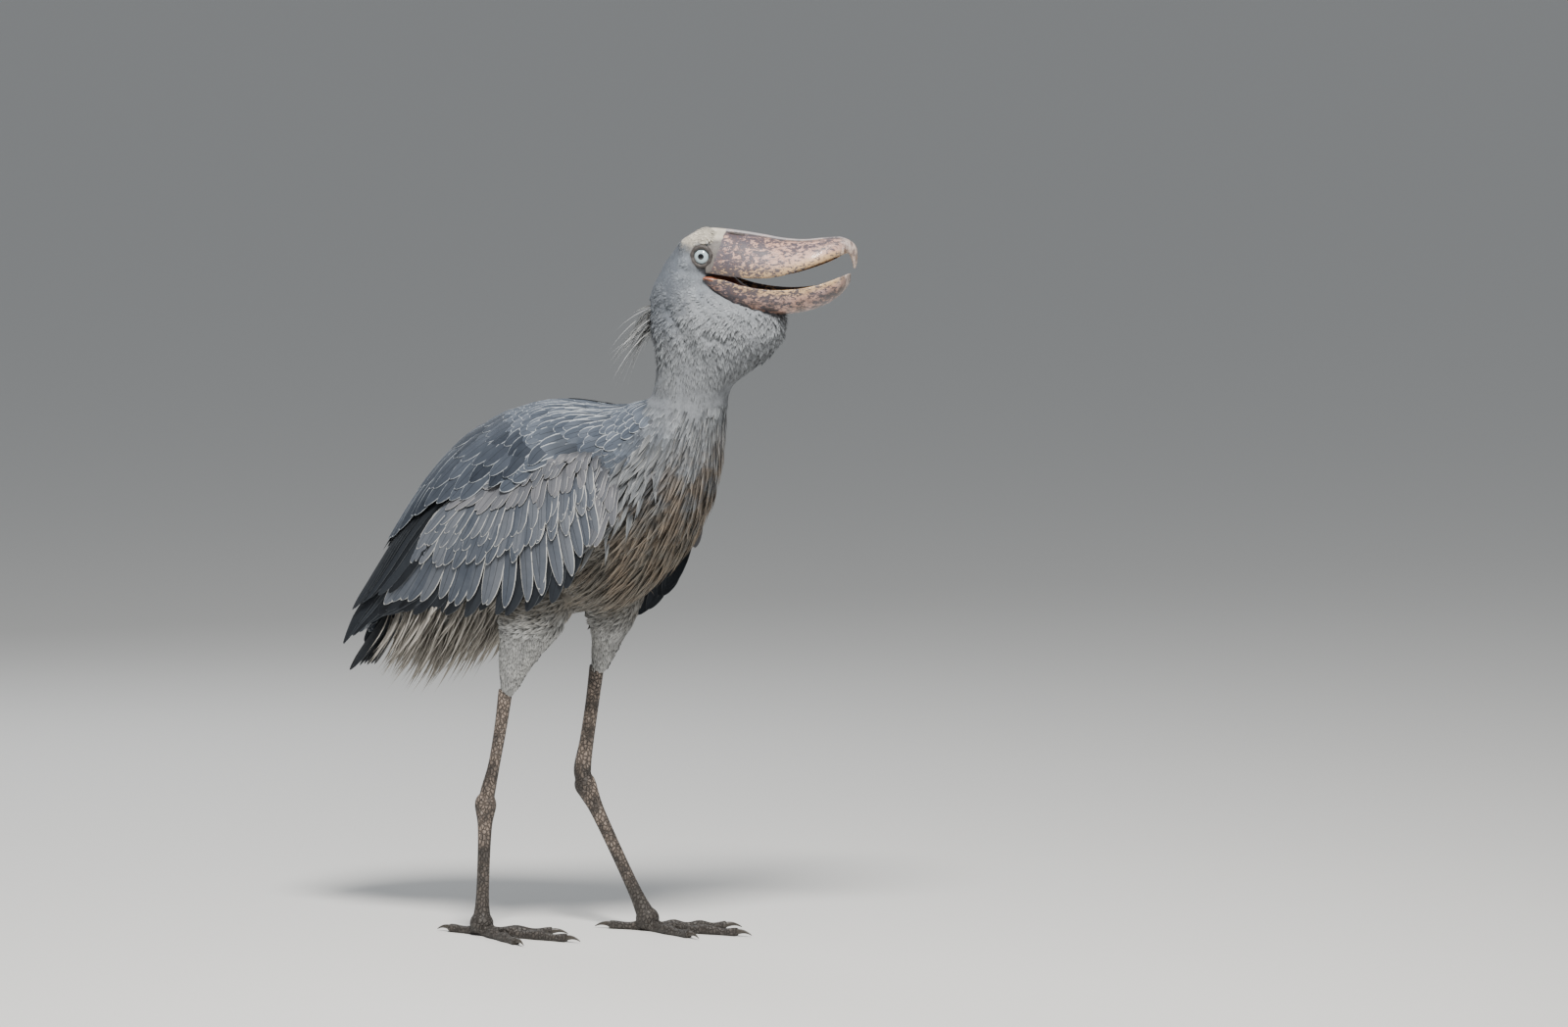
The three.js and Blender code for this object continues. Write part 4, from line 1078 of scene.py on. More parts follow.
# Rows of feathers by the piece that they make, from the tip of the wing up to its bend and front edge.
# Roots and tips are [place in the row, distance along the body, angle round it]. Half widths, from the
# first feather to the last, are millimetres, and lift is [at the root, at the tip, share where it ends].
WING_TIERS = {
    # Primaries, secondaries and tertials
    "flight_feathers": [
        {"count": 12, "half": (12, 14), "lift": (3, 7, 0.6), "tilt": -12,
         "roots": [[0, 540, 60], [1, 400, 108]],
         "tips": [[0, 766, 68], [0.5, 718, 92], [1, 648, 112]]},
        {"count": 17, "half": (15, 15), "lift": (3, 9, 0.5), "tilt": -4,
         "roots": [[0, 510, 78], [1, 205, 104]],
         "tips": [[0, 656, 104], [0.35, 545, 135], [0.7, 410, 146], [1, 292, 136]]},
        {"count": 8, "half": (17, 15), "lift": (4, 15, 0.5), "tilt": -8,
         "roots": [[0, 470, 36], [1, 380, 62]],
         "tips": [[0, 712, 54], [0.5, 690, 66], [1, 610, 90]]},
    ],
    # Greater coverts, two rows of median coverts, and the lowest of the lesser coverts
    "coverts": [
        {"count": 20, "half": (12.5, 13), "lift": (4, 13, 0.6), "tilt": -5,
         "roots": [[0, 490, 70], [1, 182, 92]],
         "tips": [[0, 630, 97], [0.3, 516, 128], [0.65, 378, 139], [1, 224, 123]]},
        {"count": 20, "half": (11.5, 11.5), "lift": (5, 15.5, 0.6), "tilt": -5,
         "roots": [[0, 440, 62], [1, 164, 86]],
         "tips": [[0, 550, 80], [0.4, 425, 106], [1, 200, 110]]},
        {"count": 20, "half": (11, 10.5), "lift": (5.5, 16, 0.6), "tilt": -5,
         "roots": [[0, 412, 60], [1, 158, 84]],
         "tips": [[0, 517, 75], [0.4, 398, 99], [1, 194, 106]]},
        {"count": 20, "half": (10.5, 10), "lift": (6, 16.5, 0.7), "tilt": -5,
         "roots": [[0, 385, 59], [1, 152, 82]],
         "tips": [[0, 485, 71], [0.4, 372, 92], [1, 188, 102]]},
    ],
    # Two rows of lesser coverts, the bend of the wing, and two rows down its front edge
    "lesser_coverts": [
        {"count": 19, "half": (9.5, 8.5), "lift": (7, 17, 0.7), "tilt": -5,
         "roots": [[0, 330, 59], [1, 147, 79]],
         "tips": [[0, 425, 66], [0.4, 325, 81], [1, 175, 95]]},
        {"count": 18, "half": (8.5, 7.5), "lift": (7, 17, 0.7), "tilt": -5,
         "roots": [[0, 270, 60], [1, 141, 76]],
         "tips": [[0, 350, 64], [0.4, 270, 74], [1, 164, 88]]},
        {"count": 16, "half": (7.5, 6.5), "lift": (6, 15, 0.7), "tilt": -5,
         "roots": [[0, 215, 62], [1, 136, 76]],
         "tips": [[0, 280, 63], [0.4, 215, 70], [1, 155, 83]]},
        {"count": 9, "half": (10, 10), "lift": (3, 13, 0.7), "tilt": -5,
         "roots": [[0, 152, 84], [1, 172, 112]],
         "tips": [[0, 196, 98], [1, 226, 130]]},
        {"count": 9, "half": (8, 8), "lift": (2, 12, 0.7), "tilt": -5,
         "roots": [[0, 138, 80], [1, 148, 108]],
         "tips": [[0, 168, 90], [1, 192, 124]]},
    ],
}
# The left wing's inner feathers hang below the belly.
HANGING = {
    "count": 12, "half": (14, 13), "lift": (1, 6, 0.5), "tilt": -6,
    "roots": [[0, 290, 114], [1, 205, 121]],
    "tips": [[0, 398, 141], [0.5, 350, 147], [1, 282, 141]],
}
STATIONS = {"flight_feathers": 14, "coverts": 12, "lesser_coverts": 12}
covert_finish = feather_finish(
    "coverts", (0.066, 0.08, 0.106), (0.18, 0.193, 0.22), fringe=(0.62, 0.62, 0.6),
    fringe_width=0.155, tip=0.025, shaft=0.055, barbs=260, rough=0.7, worn=0.95,
)
lesser_finish = feather_finish(
    "lesser_coverts", (0.095, 0.104, 0.124), (0.215, 0.215, 0.232), fringe=(0.52, 0.51, 0.5),
    fringe_width=0.13, tip=0.03, shaft=0.05, barbs=200, rough=0.7, worn=0.8,
)
flight_finish = feather_finish(
    "flight_feathers", (0.009, 0.011, 0.015), (0.036, 0.042, 0.052), fringe=(0.13, 0.14, 0.15),
    fringe_width=0.09, tip=0.012, shaft=0.04, barbs=420, rough=0.65, worn=0.6,
)
WING_FINISHES = {"flight_feathers": flight_finish, "coverts": covert_finish, "lesser_coverts": lesser_finish}
arm_down = mottled((0.12, 0.135, 0.155), (0.2, 0.21, 0.225), 60, bump=(300, 3, 0.0006))
arm_finish = material("wing_down", SLATE, 0.85, arm_down, shine=0.1)


def tier_feathers(tier, surface, side, stations=12):
    u = np.linspace(0, 1, tier["count"])
    start, end = line(tier["roots"], u), line(tier["tips"], u)
    start = start + rng.normal(0, [2.5, 0.6], start.shape)
    end = end + rng.normal(0, [6.5, 1.5], end.shape)
    half = tier["half"][0] + (tier["half"][1] - tier["half"][0]) * u
    low, high, rise = tier["lift"]
    return row_feathers(
        surface,
        start,
        end,
        half,
        lambda s: low + (high - low) * np.sin(np.pi / 2 * np.minimum(1, s / rise)),
        blade_outline,
        side,
        stations=stations,
        camber=0.12,
        tilt=(tier["tilt"] + rng.normal(0, 2.5, len(u))) * smooth(0, 14, start[:, 1]),
    )


for wing_name, wing_side in (("right", -1), ("left", 1)):
    arm = new_object("wing_arm_" + wing_name, *wing_arm(wing_side))
    finish_piece(arm, arm_finish, "wing_feathers", "wing_" + wing_name)
    for kind, tiers in WING_TIERS.items():
        rows = tiers + [HANGING] if kind == "flight_feathers" and wing_side == 1 else tiers
        laid = [tier_feathers(tier, wing_point, wing_side, STATIONS[kind]) for tier in rows]
        feather_piece(f"{kind}_{wing_name}", laid, WING_FINISHES[kind], "wing_feathers")



# Mantle and shoulder feathers.
# Broad slate feathers lie from the upper back over the top of the wings, longest at the shoulder.
# They are darker than the wing coverts, with thin pale edges.

# Rows from the longest feathers up to the shortest, in the same terms as the wing's
SHOULDER_TIERS = [
    {"count": 15, "half": (16, 17), "lift": (-3, 20, 0.6), "tilt": 9,
     "roots": [[0, 360, 0], [1, 225, 48]], "tips": [[0, 640, 0], [0.5, 575, 40], [1, 380, 66]]},
    {"count": 13, "half": (16, 16), "lift": (-3, 22, 0.65), "tilt": 9,
     "roots": [[0, 300, 0], [1, 205, 50]], "tips": [[0, 520, 0], [0.5, 480, 36], [1, 330, 67]]},
    {"count": 12, "half": (15, 15), "lift": (-3, 23, 0.7), "tilt": 9,
     "roots": [[0, 240, 0], [1, 180, 54]], "tips": [[0, 410, 0], [0.5, 380, 36], [1, 288, 66]]},
    {"count": 12, "half": (15, 14), "lift": (-3, 22, 0.75), "tilt": 9,
     "roots": [[0, 190, 0], [1, 160, 56]], "tips": [[0, 320, 0], [0.5, 300, 36], [1, 248, 66]]},
]
shoulder_finish = feather_finish(
    "shoulder_feathers", (0.022, 0.028, 0.04), (0.085, 0.10, 0.128), fringe=(0.44, 0.47, 0.50),
    fringe_width=0.13, tip=0.015, shaft=0.05, barbs=300, rough=0.65, worn=0.85,
)
mantle_finish = feather_finish(
    "mantle_feathers", (0.048, 0.06, 0.082), (0.13, 0.15, 0.185), fringe=(0.47, 0.50, 0.53),
    fringe_width=0.2, tip=0.04, shaft=0.06, barbs=120, rough=0.7, worn=0.85,
)
# The first rows start this many degrees to the side of the neck, which rises from the middle of them.
NECK_ROWS, NECK_ANGLE = 40, 26
LEFT_REACH = 1.13


def mantle_point(along, angle, lift, side):
    """On the left, where the wing hangs lower, the shoulder feathers reach down after it."""
    return body_point(along, angle * (LEFT_REACH if side > 0 else 1.0), lift, side)


shoulders = [tier_feathers(tier, mantle_point, side) for tier in SHOULDER_TIERS for side in (-1, 1)]
feather_piece("shoulder_feathers", shoulders, shoulder_finish, "plumage")

mantle = []
for side in (-1, 1):
    for row, along in enumerate(np.arange(4, 232, 15.0)):
        grown = smooth(0, 150, along)
        beside_neck = NECK_ANGLE if along < NECK_ROWS else 0
        angle = np.arange(3 * (row % 2) + beside_neck, 70 + 8 * (1 - grown), 6.2 - 1.2 * grown)
        angle = angle + rng.normal(0, 0.8, len(angle))
        start = np.stack([along + 0.16 * angle + rng.normal(0, 3, len(angle)), angle], -1)
        length = (36 + 26 * grown) * rng.uniform(0.9, 1.1, len(angle))
        end = start + np.stack([length, rng.normal(2.0, 1.2, len(angle))], -1)
        # By the neck the outer feathers sink in under the breast's plumes.
        edge_sink = smooth(44, 74, angle) * (1 - smooth(105, 160, along))
        top = (4 + 17 * grown) * (1 - 0.8 * edge_sink[:, None])
        mantle.append(
            row_feathers(
                body_point, start, end, 8.5 + 4 * grown,
                lambda s: top - 10 + 10 * np.sin(np.pi / 2 * s)[None],
                blade_outline, side, stations=9, camber=0.14, tilt=7 * smooth(0, 14, angle),
            )
        )
feather_piece("mantle_feathers", mantle, mantle_finish, "plumage")


# Tail and rump.
# Twelve broad dark feathers in a nearly closed fan, over a shorter layer, under the tips of the wings.
# The outer ones lie lower, and each overlaps the next. Rows of slate feathers cover the rump above them.
TAIL = {"feathers": 12, "length": 166.0, "fan": 10.0, "fall": math.radians(52), "half": 17.0}


def tail_feathers(length_share, lower):
    rank = np.linspace(-1, 1, TAIL["feathers"])[:, None]
    bx, bz, fx, fz, _ = body_section(620.0)
    root = np.array([bx * 0.55 + fx * 0.45, 0, bz * 0.55 + fz * 0.45])
    s = places_along(12)[None]
    out = s * TAIL["length"] * length_share * (1 - 0.12 * rank**2) * rng.uniform(0.93, 1, rank.shape)
    yaw = np.radians(rank * TAIL["fan"])
    sink = 12 * np.abs(rank) + 8 * s**2 * np.abs(rank) + lower
    centre = root + np.stack(
        [
            -out * math.cos(TAIL["fall"]) * np.cos(yaw),
            out * np.sin(yaw) + rank * 12,
            -out * math.sin(TAIL["fall"]) - sink,
        ],
        -1,
    )
    up = np.array([-math.sin(TAIL["fall"]), 0, math.cos(TAIL["fall"])])
    tilt = -6 * np.sign(rank[:, 0])
    return blades(centre, centre + up * 2, TAIL["half"], blade_outline, WIDE, 0.1, tilt=tilt)


tail = [tail_feathers(1.0, 0), tail_feathers(0.6, -6)]
feather_piece("tail_feathers", tail, flight_finish, "tail_feathers", "tail")
RUMP = {"from": 540, "to": 690, "step": 17, "edge": 86, "length": 58.0, "half": 10.0}
rump = []
for rump_side in (-1, 1):
    for step, along in enumerate(np.arange(RUMP["from"], RUMP["to"], RUMP["step"])):
        angles = np.arange(3 + 4 * (step % 2), RUMP["edge"], 8.0)
        start = np.stack([along + rng.normal(0, 3, len(angles)), angles], -1)
        end = start + np.stack([np.full(len(angles), RUMP["length"]), rng.normal(1, 2, len(angles))], -1)
        # The last rows lie down on the tail.
        sunk = smooth(600, 690, along) * 0.8
        rump.append(
            row_feathers(
                body_point, start, end, RUMP["half"], lambda s: -3 + (9 - 26 * sunk) * s,
                blade_outline, rump_side, stations=9, camber=0.2, tilt=rng.uniform(-5, 5, len(angles)),
            )
        )
feather_piece("rump_feathers", rump, mantle_finish, "tail_feathers")


# Crest.
# A few loose wispy feathers hang from the nape and blow a little to the back.
# They are hair-thin strands over a tuft of short ones.
strands = 90
crest_z = rng.uniform(964, 1004, strands)
long_strand = rng.random(strands) < 0.3
tip_back = np.where(long_strand, rng.uniform(-142, -98, strands), rng.uniform(-92, -68, strands))
tip_z = np.where(long_strand, crest_z - rng.uniform(46, 118, strands), crest_z - rng.uniform(14, 50, strands))
shift = rng.normal(0, 9, strands)
s = places_along(10)[None]
strand_t = -52 + (tip_back[:, None] + 52) * s
strand_z = crest_z[:, None] + (tip_z - crest_z)[:, None] * (0.3 * s + 0.7 * s**2)
strand_w = shift[:, None] * (0.5 + 0.7 * s)
crest_centre = from_head(strand_t, strand_w, strand_z)
crest_above = from_head(strand_t - 2, strand_w, strand_z + 1)
crest_half = np.where(long_strand, 1.9, 2.2)
crest_tilt = rng.uniform(-40, 40, strands)
crest = blades(crest_centre, crest_above, crest_half, lance_outline, NARROW, 0.3, tilt=crest_tilt)
crest_finish = feather_finish(
    "crest", (0.38, 0.385, 0.39), (0.6, 0.61, 0.61), fringe=(0.68, 0.68, 0.67),
    fringe_width=0.3, tip=0.05, shaft=0.1, barbs=40, rough=0.8,
)
feather_piece("crest", [crest], crest_finish, "plumage")


# Bill.
# A huge horn shell: the upper half arched with a ridge between two grooves and a sharp hooked nail,
# the lower half a deep trough. Both are hollow, pinkish horn mottled with slate, worn pale at the edges.

# [distance along the bill, height of the ridge, height of the cutting edge, half width]
upper_section = keyed(
    [
        [38, 1125, 1056, 42],
        [64, 1123, 1052.5, 46],
        [90, 1120, 1050, 50],
        [120, 1115.5, 1049, 52],
        [150, 1110.5, 1051.5, 52],
        [185, 1108.5, 1061, 50],
        [212, 1111, 1070.5, 44],
        [232, 1113, 1079, 33],
        [244, 1113, 1085, 22],
        [252, 1110.5, 1087, 14],
    ]
)
# [distance along the bill, height of the cutting edge, height of the keel, half width]
lower_section = keyed(
    [
        [26, 1048, 1043, 36],
        [45, 1047, 1022, 40],
        [65, 1045.5, 1006, 43],
        [94, 1037.5, 993, 46],
        [130, 1032, 989.5, 47.5],
        [165, 1031.5, 992.5, 46.5],
        [205, 1037, 1001.5, 41],
        [232, 1045, 1015, 32],
        [248, 1052, 1029, 21],
        [257, 1056, 1041, 11],
    ]
)
# The upper bill's half outline: [step, share of the half width, share of the height]
arch = keyed(
    [
        [0, 0.0, 1.0],
        [1, 0.085, 0.99],
        [1.6, 0.125, 0.945],
        [2.4, 0.24, 0.915],
        [3.2, 0.45, 0.86],
        [4.2, 0.74, 0.65],
        [5.2, 0.95, 0.33],
        [6.2, 1.0, 0.1],
        [7, 0.95, 0.0],
    ]
)
WALL = 5.0


def strip_loft(outer, inner):
    """A shell between two open sheets of sections, closed along its rims and at both ends."""
    rings = np.concatenate([outer, inner[:, ::-1]], 1)
    count, around = rings.shape[:2]
    points = rings.reshape(-1, 3)
    faces = band_faces(count, around)
    half = around // 2
    for first in (0, (count - 1) * around):
        for j in range(half - 1):
            faces.append((first + j, first + j + 1, first + around - 2 - j, first + around - 1 - j))
    return list(points), faces


def upper_shell():
    u = np.concatenate([-np.linspace(7, 0, 29), np.linspace(0, 7, 29)[1:]])
    across, tall = arch(np.abs(u))
    outer, inner = [], []
    for t in np.linspace(36, 252, 60):
        top, rim, half = upper_section(t)
        outer.append(from_head(t, np.sign(u) * across * half, rim + tall * (top - rim)))
        wall = WALL + 6 * smooth(214, 246, t)
        roof = (top - rim) * (0.72 - 0.5 * smooth(205, 245, t))
        inner.append(from_head(t, np.sign(u) * across * max(half - wall, 2), rim - 0.5 + tall * roof))
    return strip_loft(np.array(outer), np.array(inner))


def hook():
    # [share along, distance along the bill, height, half width, half depth]
    rows = keyed(
        [
            [0, 222, 1101, 15, 9],
            [0.25, 244, 1102, 14, 10],
            [0.5, 259, 1095, 10.5, 9],
            [0.75, 264.5, 1082, 6.5, 5.5],
            [0.92, 265.5, 1070, 3.6, 3.2],
            [1, 265, 1064, 1.6, 1.6],
        ]
    )
    rings = []
    turn = np.linspace(0, 2 * np.pi, 24, endpoint=False)
    for share in np.linspace(0, 1, 26):
        t, z, half, depth = rows(share)
        t0, z0 = rows(share - 0.02)[:2]
        t1, z1 = rows(share + 0.02)[:2]
        run = math.hypot(t1 - t0, z1 - z0)
        across_t, across_z = (z1 - z0) / run, (t0 - t1) / run
        ring_t = t - across_t * depth * np.cos(turn)
        ring_z = z - across_z * depth * np.cos(turn)
        rings.append(from_head(ring_t, half * np.sin(turn), ring_z))
    return loft(rings)


def lower_shell():
    angle = np.linspace(0, np.pi, 41)
    outer, inner = [], []
    for t in np.linspace(28, 257, 60):
        rim, keel, half = lower_section(t)
        deep = np.sin(angle) ** 0.85
        outer.append(from_head(t, np.cos(angle) * half, rim - deep * (rim - keel)))
        wall = 4.5 + 4 * smooth(225, 255, t)
        floor = (rim - keel - wall) * (0.75 - 0.6 * smooth(222, 254, t))
        inner.append(from_head(t, np.cos(angle) * max(half - wall, 2), rim + 0.4 - deep * max(floor, 0.5)))
    return strip_loft(np.array(outer), np.array(inner))


PINK_HORN = (0.59, 0.34, 0.25)
TAN_HORN = (0.58, 0.39, 0.19)
GREY_HORN = (0.048, 0.046, 0.066)
DARK_HORN = (0.035, 0.027, 0.023)
PALE_RIDGE = (0.42, 0.40, 0.41)


def bill_marks(piece, section, flip):
    """Values on the bill: up is 0 at the cutting edge and 1 at ridge or keel, reach is 0 at the base."""
    t, w, z = to_head(drawn(piece.data))
    first, second, _ = section(t)
    rim, far = (second, first) if flip else (first, second)
    # The horn starts at 42 mm by the mouth and at 60 mm under the brow.
    base_line = 42 + 18 * np.clip((z - 1050) / 50, 0, 1)
    for label, values in (
        ("up", (z - rim) / (far - rim)),
        ("reach", (t - 40) / 220),
        ("off", np.abs(w) / 50),
        ("skin", 1 - smooth(-7, 7, t - base_line)),
        ("brow", smooth(1103, 1112, z)),
    ):
        point_values(piece.data, label, np.clip(values, -0.5, 2))


def horn(lower):
    """Wires the horn: blotches over a pink ground, a ridge with painted shade in its grooves or a keel darker
    in patches, and a streaked nail.
    """

    def build(n, shader):
        spot = n.spot()
        up = n.point_value("up")
        reach = n.point_value("reach")
        off = n.point_value("off")
        cloud = n.noise(spot, 22, 5, 0.62, 0.6)
        lean = n.add("ShaderNodeMapping")
        lean.inputs["Rotation"].default_value = (0, 0.7, 0)
        lean.inputs["Scale"].default_value = (1, 1, 2.1)
        n.link(spot, lean.inputs["Vector"])
        speck = n.noise(lean.outputs[0], 108, 6, 0.7, 0.6)
        fine = n.noise(n.stretched(spot, (1, 1, 2.2)), 420, 3, 0.6)
        colour = n.mix(n.step(cloud, 0.35, 0.7), PINK_HORN, (0.50, 0.33, 0.30))
        low = n.rest(n.step(n.math("MULTIPLY_ADD", cloud, 0.3, up), 0.22, 0.58))
        colour = n.paint(colour, TAN_HORN, low, 0.85)
        near_base = n.rest(n.step(reach, -0.02, 0.75))
        cover = n.math("MULTIPLY_ADD", near_base, 0.07, n.math("MULTIPLY_ADD", cloud, 0.26, -0.13))
        if not lower:
            cover = n.math("MULTIPLY_ADD", up, 0.035, n.math("SUBTRACT", cover, 0.01))
        purple = n.step(n.noise(spot, 60, 5, 0.7), 0.47, 0.60)
        colour = n.paint(colour, (0.17, 0.115, 0.135), n.times(purple, near_base), 0.5)
        cut = n.math("SUBTRACT", 0.503, cover)
        blotch = n.step(speck, cut, n.math("ADD", cut, 0.028))
        colour = n.paint(colour, GREY_HORN, blotch, 0.92)
        rusty = n.step(n.noise(spot, 190, 4, 0.7), 0.54, 0.64)
        colour = n.paint(colour, (0.20, 0.10, 0.07), rusty, 0.45)
        if lower:
            # The lower bill is darker in patches towards its keel.
            dark_toward_keel = n.times(n.step(up, 0.25, 0.85), n.step(n.noise(spot, 42, 5, 0.7), 0.40, 0.58))
            colour = n.paint(colour, DARK_HORN, dark_toward_keel, 0.85)
        else:
            ridge = n.times(n.step(up, 0.93, 0.98), n.rest(n.step(off, 0.10, 0.16)))
            colour = n.paint(colour, PALE_RIDGE, ridge, 0.75)
            # Painted shade darkens the two grooves beside the ridge.
            groove = n.times(n.step(off, 0.09, 0.125), n.rest(n.step(off, 0.15, 0.24)))
            groove = n.times(groove, n.step(up, 0.8, 0.9))
            colour = n.paint(colour, (0.06, 0.05, 0.055), groove, 0.75)
        worn = n.times(n.step(reach, 0.76, 0.84), n.rest(n.step(reach, 0.88, 0.95)))
        worn = n.times(n.times(worn, n.step(up, 0.3, 0.8)), n.step(speck, 0.40, 0.52))
        colour = n.paint(colour, (0.09, 0.075, 0.085), worn, 0.8)
        nail = n.step(reach, 0.90, 0.99)
        streak = n.step(n.noise(n.stretched(spot, (1, 1, 0.25)), 160, 3, 0.6), 0.42, 0.6)
        nail_colour = n.mix(streak, (0.52, 0.42, 0.37), (0.17, 0.13, 0.12))
        colour = n.paint(colour, nail_colour, nail, 0.85)
        mouth = n.math("SUBTRACT", n.rest(n.step(up, -0.06, 0.01)), nail)
        colour = n.mix(mouth, colour, (0.13, 0.05, 0.035))
        colour = n.paint(colour, (0.08, 0.06, 0.05), fine, 0.2)
        if not lower:
            skin_share = n.point_value("skin")
            ragged_edge = n.noise(n.stretched(spot, (1, 1, 0.6)), 130, 5, 0.75)
            skin_edge = n.math("MULTIPLY_ADD", ragged_edge, 1.2, -0.6)
            skin_share = n.step(n.math("ADD", skin_share, skin_edge), 0.42, 0.58)
            brow = n.point_value("brow")
            wrinkle = n.noise(n.stretched(spot, (1, 1, 0.35)), 230, 4, 0.65)
            around = n.mix(wrinkle, (0.045, 0.04, 0.038), (0.20, 0.18, 0.165))
            around = n.mix(n.times(brow, 0.9), around, n.mix(wrinkle, (0.40, 0.36, 0.30), CREAM))
            colour = n.mix(skin_share, colour, around)
        n.link(colour, shader.inputs["Base Color"])
        n.link(n.math("MULTIPLY_ADD", speck, 0.28, 0.28), shader.inputs["Roughness"])
        height = n.math("ADD", n.times(speck, 0.7), n.times(fine, 0.3))
        bumped(n, shader, height, 0.0014, 0.8)

    return build


upper = fused("upper_bill_horn", [upper_shell(), hook()], 0.0012, 4)
bill_marks(upper, upper_section, True)
finish_piece(upper, material("upper_horn", PINK_HORN, 0.45, horn(False), coat=0.12), "bill", "upper_bill")
lower = fused("lower_bill_horn", [lower_shell()], 0.0012, 4)
bill_marks(lower, lower_section, False)
finish_piece(lower, material("lower_horn", TAN_HORN, 0.45, horn(True), coat=0.12), "bill", "lower_bill")


# Mouth lining and nostrils.
# Behind the bill the mouth is lined with moist red-brown skin back to the corner of the gape.
# The nostrils are narrow slits beside the ridge, close to the forehead.

# [distance along the bill, height, half height, half width]
lining_rows = [
    [31, 1048, 3, 44],
    [40, 1047, 6, 43],
    [52, 1043, 13, 40],
    [64, 1038, 14, 37],
    [84, 1029, 9, 33],
    [106, 1022, 5, 27],
    [124, 1018, 2, 16],
]
turn = np.linspace(0, 2 * np.pi, 28, endpoint=False)
lining_rings = [
    from_head(t, np.sin(turn) * across, z + np.cos(turn) * tall) for t, z, tall, across in lining_rows
]
lining = fused("mouth_lining", [loft(lining_rings)], 0.002, 4)
wet_flesh = mottled((0.16, 0.045, 0.028), (0.34, 0.12, 0.06), 70, rough=0.6, bump=(260, 3, 0.0008))
finish_piece(lining, material("mouth_flesh", (0.25, 0.09, 0.05), 0.35, wet_flesh, coat=0.3), "bill")

slits = []
for slit_side in (-1, 1):
    rings = []
    for share in np.linspace(0, 1, 14):
        t = 65 + 27 * share
        fat = math.sin(math.pi * min(max(share, 0.04), 0.96)) ** 0.6
        top, rim, half = upper_section(t)
        z = rim + 0.92 * (top - rim)
        w = slit_side * (0.235 * half)
        rings.append(from_head(t, w + 3.0 * fat * np.sin(turn), z + 2.3 * fat * np.cos(turn)))
    slits.append(loft(rings))
nostrils = new_object("nostrils", *joined(slits))
slit_dark = mottled((0.02, 0.016, 0.014), (0.06, 0.045, 0.04), 300, detail=2)
finish_piece(nostrils, material("nostril_shadow", (0.03, 0.025, 0.02), 0.6, slit_dark), "bill")


# Eyes and lids.
# Large pale eyes high on the sides of the head, with a small black pupil and a wet surface.
# Each sits in a ring of bare grey lid, a little wrinkled.
EYE_RADIUS, EYE_BULGE = 13.4, 9.6
EYE_RINGS, EYE_SIDES = 40, 48
# Radius of the ring of lid, and of the fold that it is
LID = {"ring": 15.0, "thick": 3.4}


def iris(n, shader):
    rim = n.point_value("rim")
    round_eye = n.point_value("round")
    spoke = n.add("ShaderNodeCombineXYZ")
    n.link(n.times(round_eye, 26.0), spoke.inputs[0])
    n.link(n.times(rim, 3.0), spoke.inputs[1])
    ray = n.noise(spoke.outputs[0], 1.6, 3, 0.6)
    colour = n.mix(ray, (0.27, 0.36, 0.40), (0.50, 0.60, 0.63))
    colour = n.mix(n.step(rim, 0.74, 0.88), colour, (0.13, 0.17, 0.19))
    inner = n.rest(n.step(rim, 0.37, 0.50))
    colour = n.paint(colour, (0.30, 0.36, 0.38), inner, 0.5)
    pupil = n.rest(n.step(rim, 0.345, 0.365))
    colour = n.mix(pupil, colour, (0.002, 0.002, 0.003))
    n.link(n.mix(n.step(rim, 0.87, 0.92), colour, (0.008, 0.008, 0.01)), shader.inputs["Base Color"])


def lid_skin(n, shader):
    spot = n.spot()
    tone = n.mix(n.noise(spot, 120, 4, 0.6), (0.016, 0.014, 0.014), (0.085, 0.072, 0.066))
    n.link(tone, shader.inputs["Base Color"])
    wrinkle = n.add("ShaderNodeTexVoronoi", feature="DISTANCE_TO_EDGE")
    n.link(spot, wrinkle.inputs["Vector"])
    wrinkle.inputs["Scale"].default_value = 700
    bumped(n, shader, wrinkle.outputs["Distance"], 0.0006)


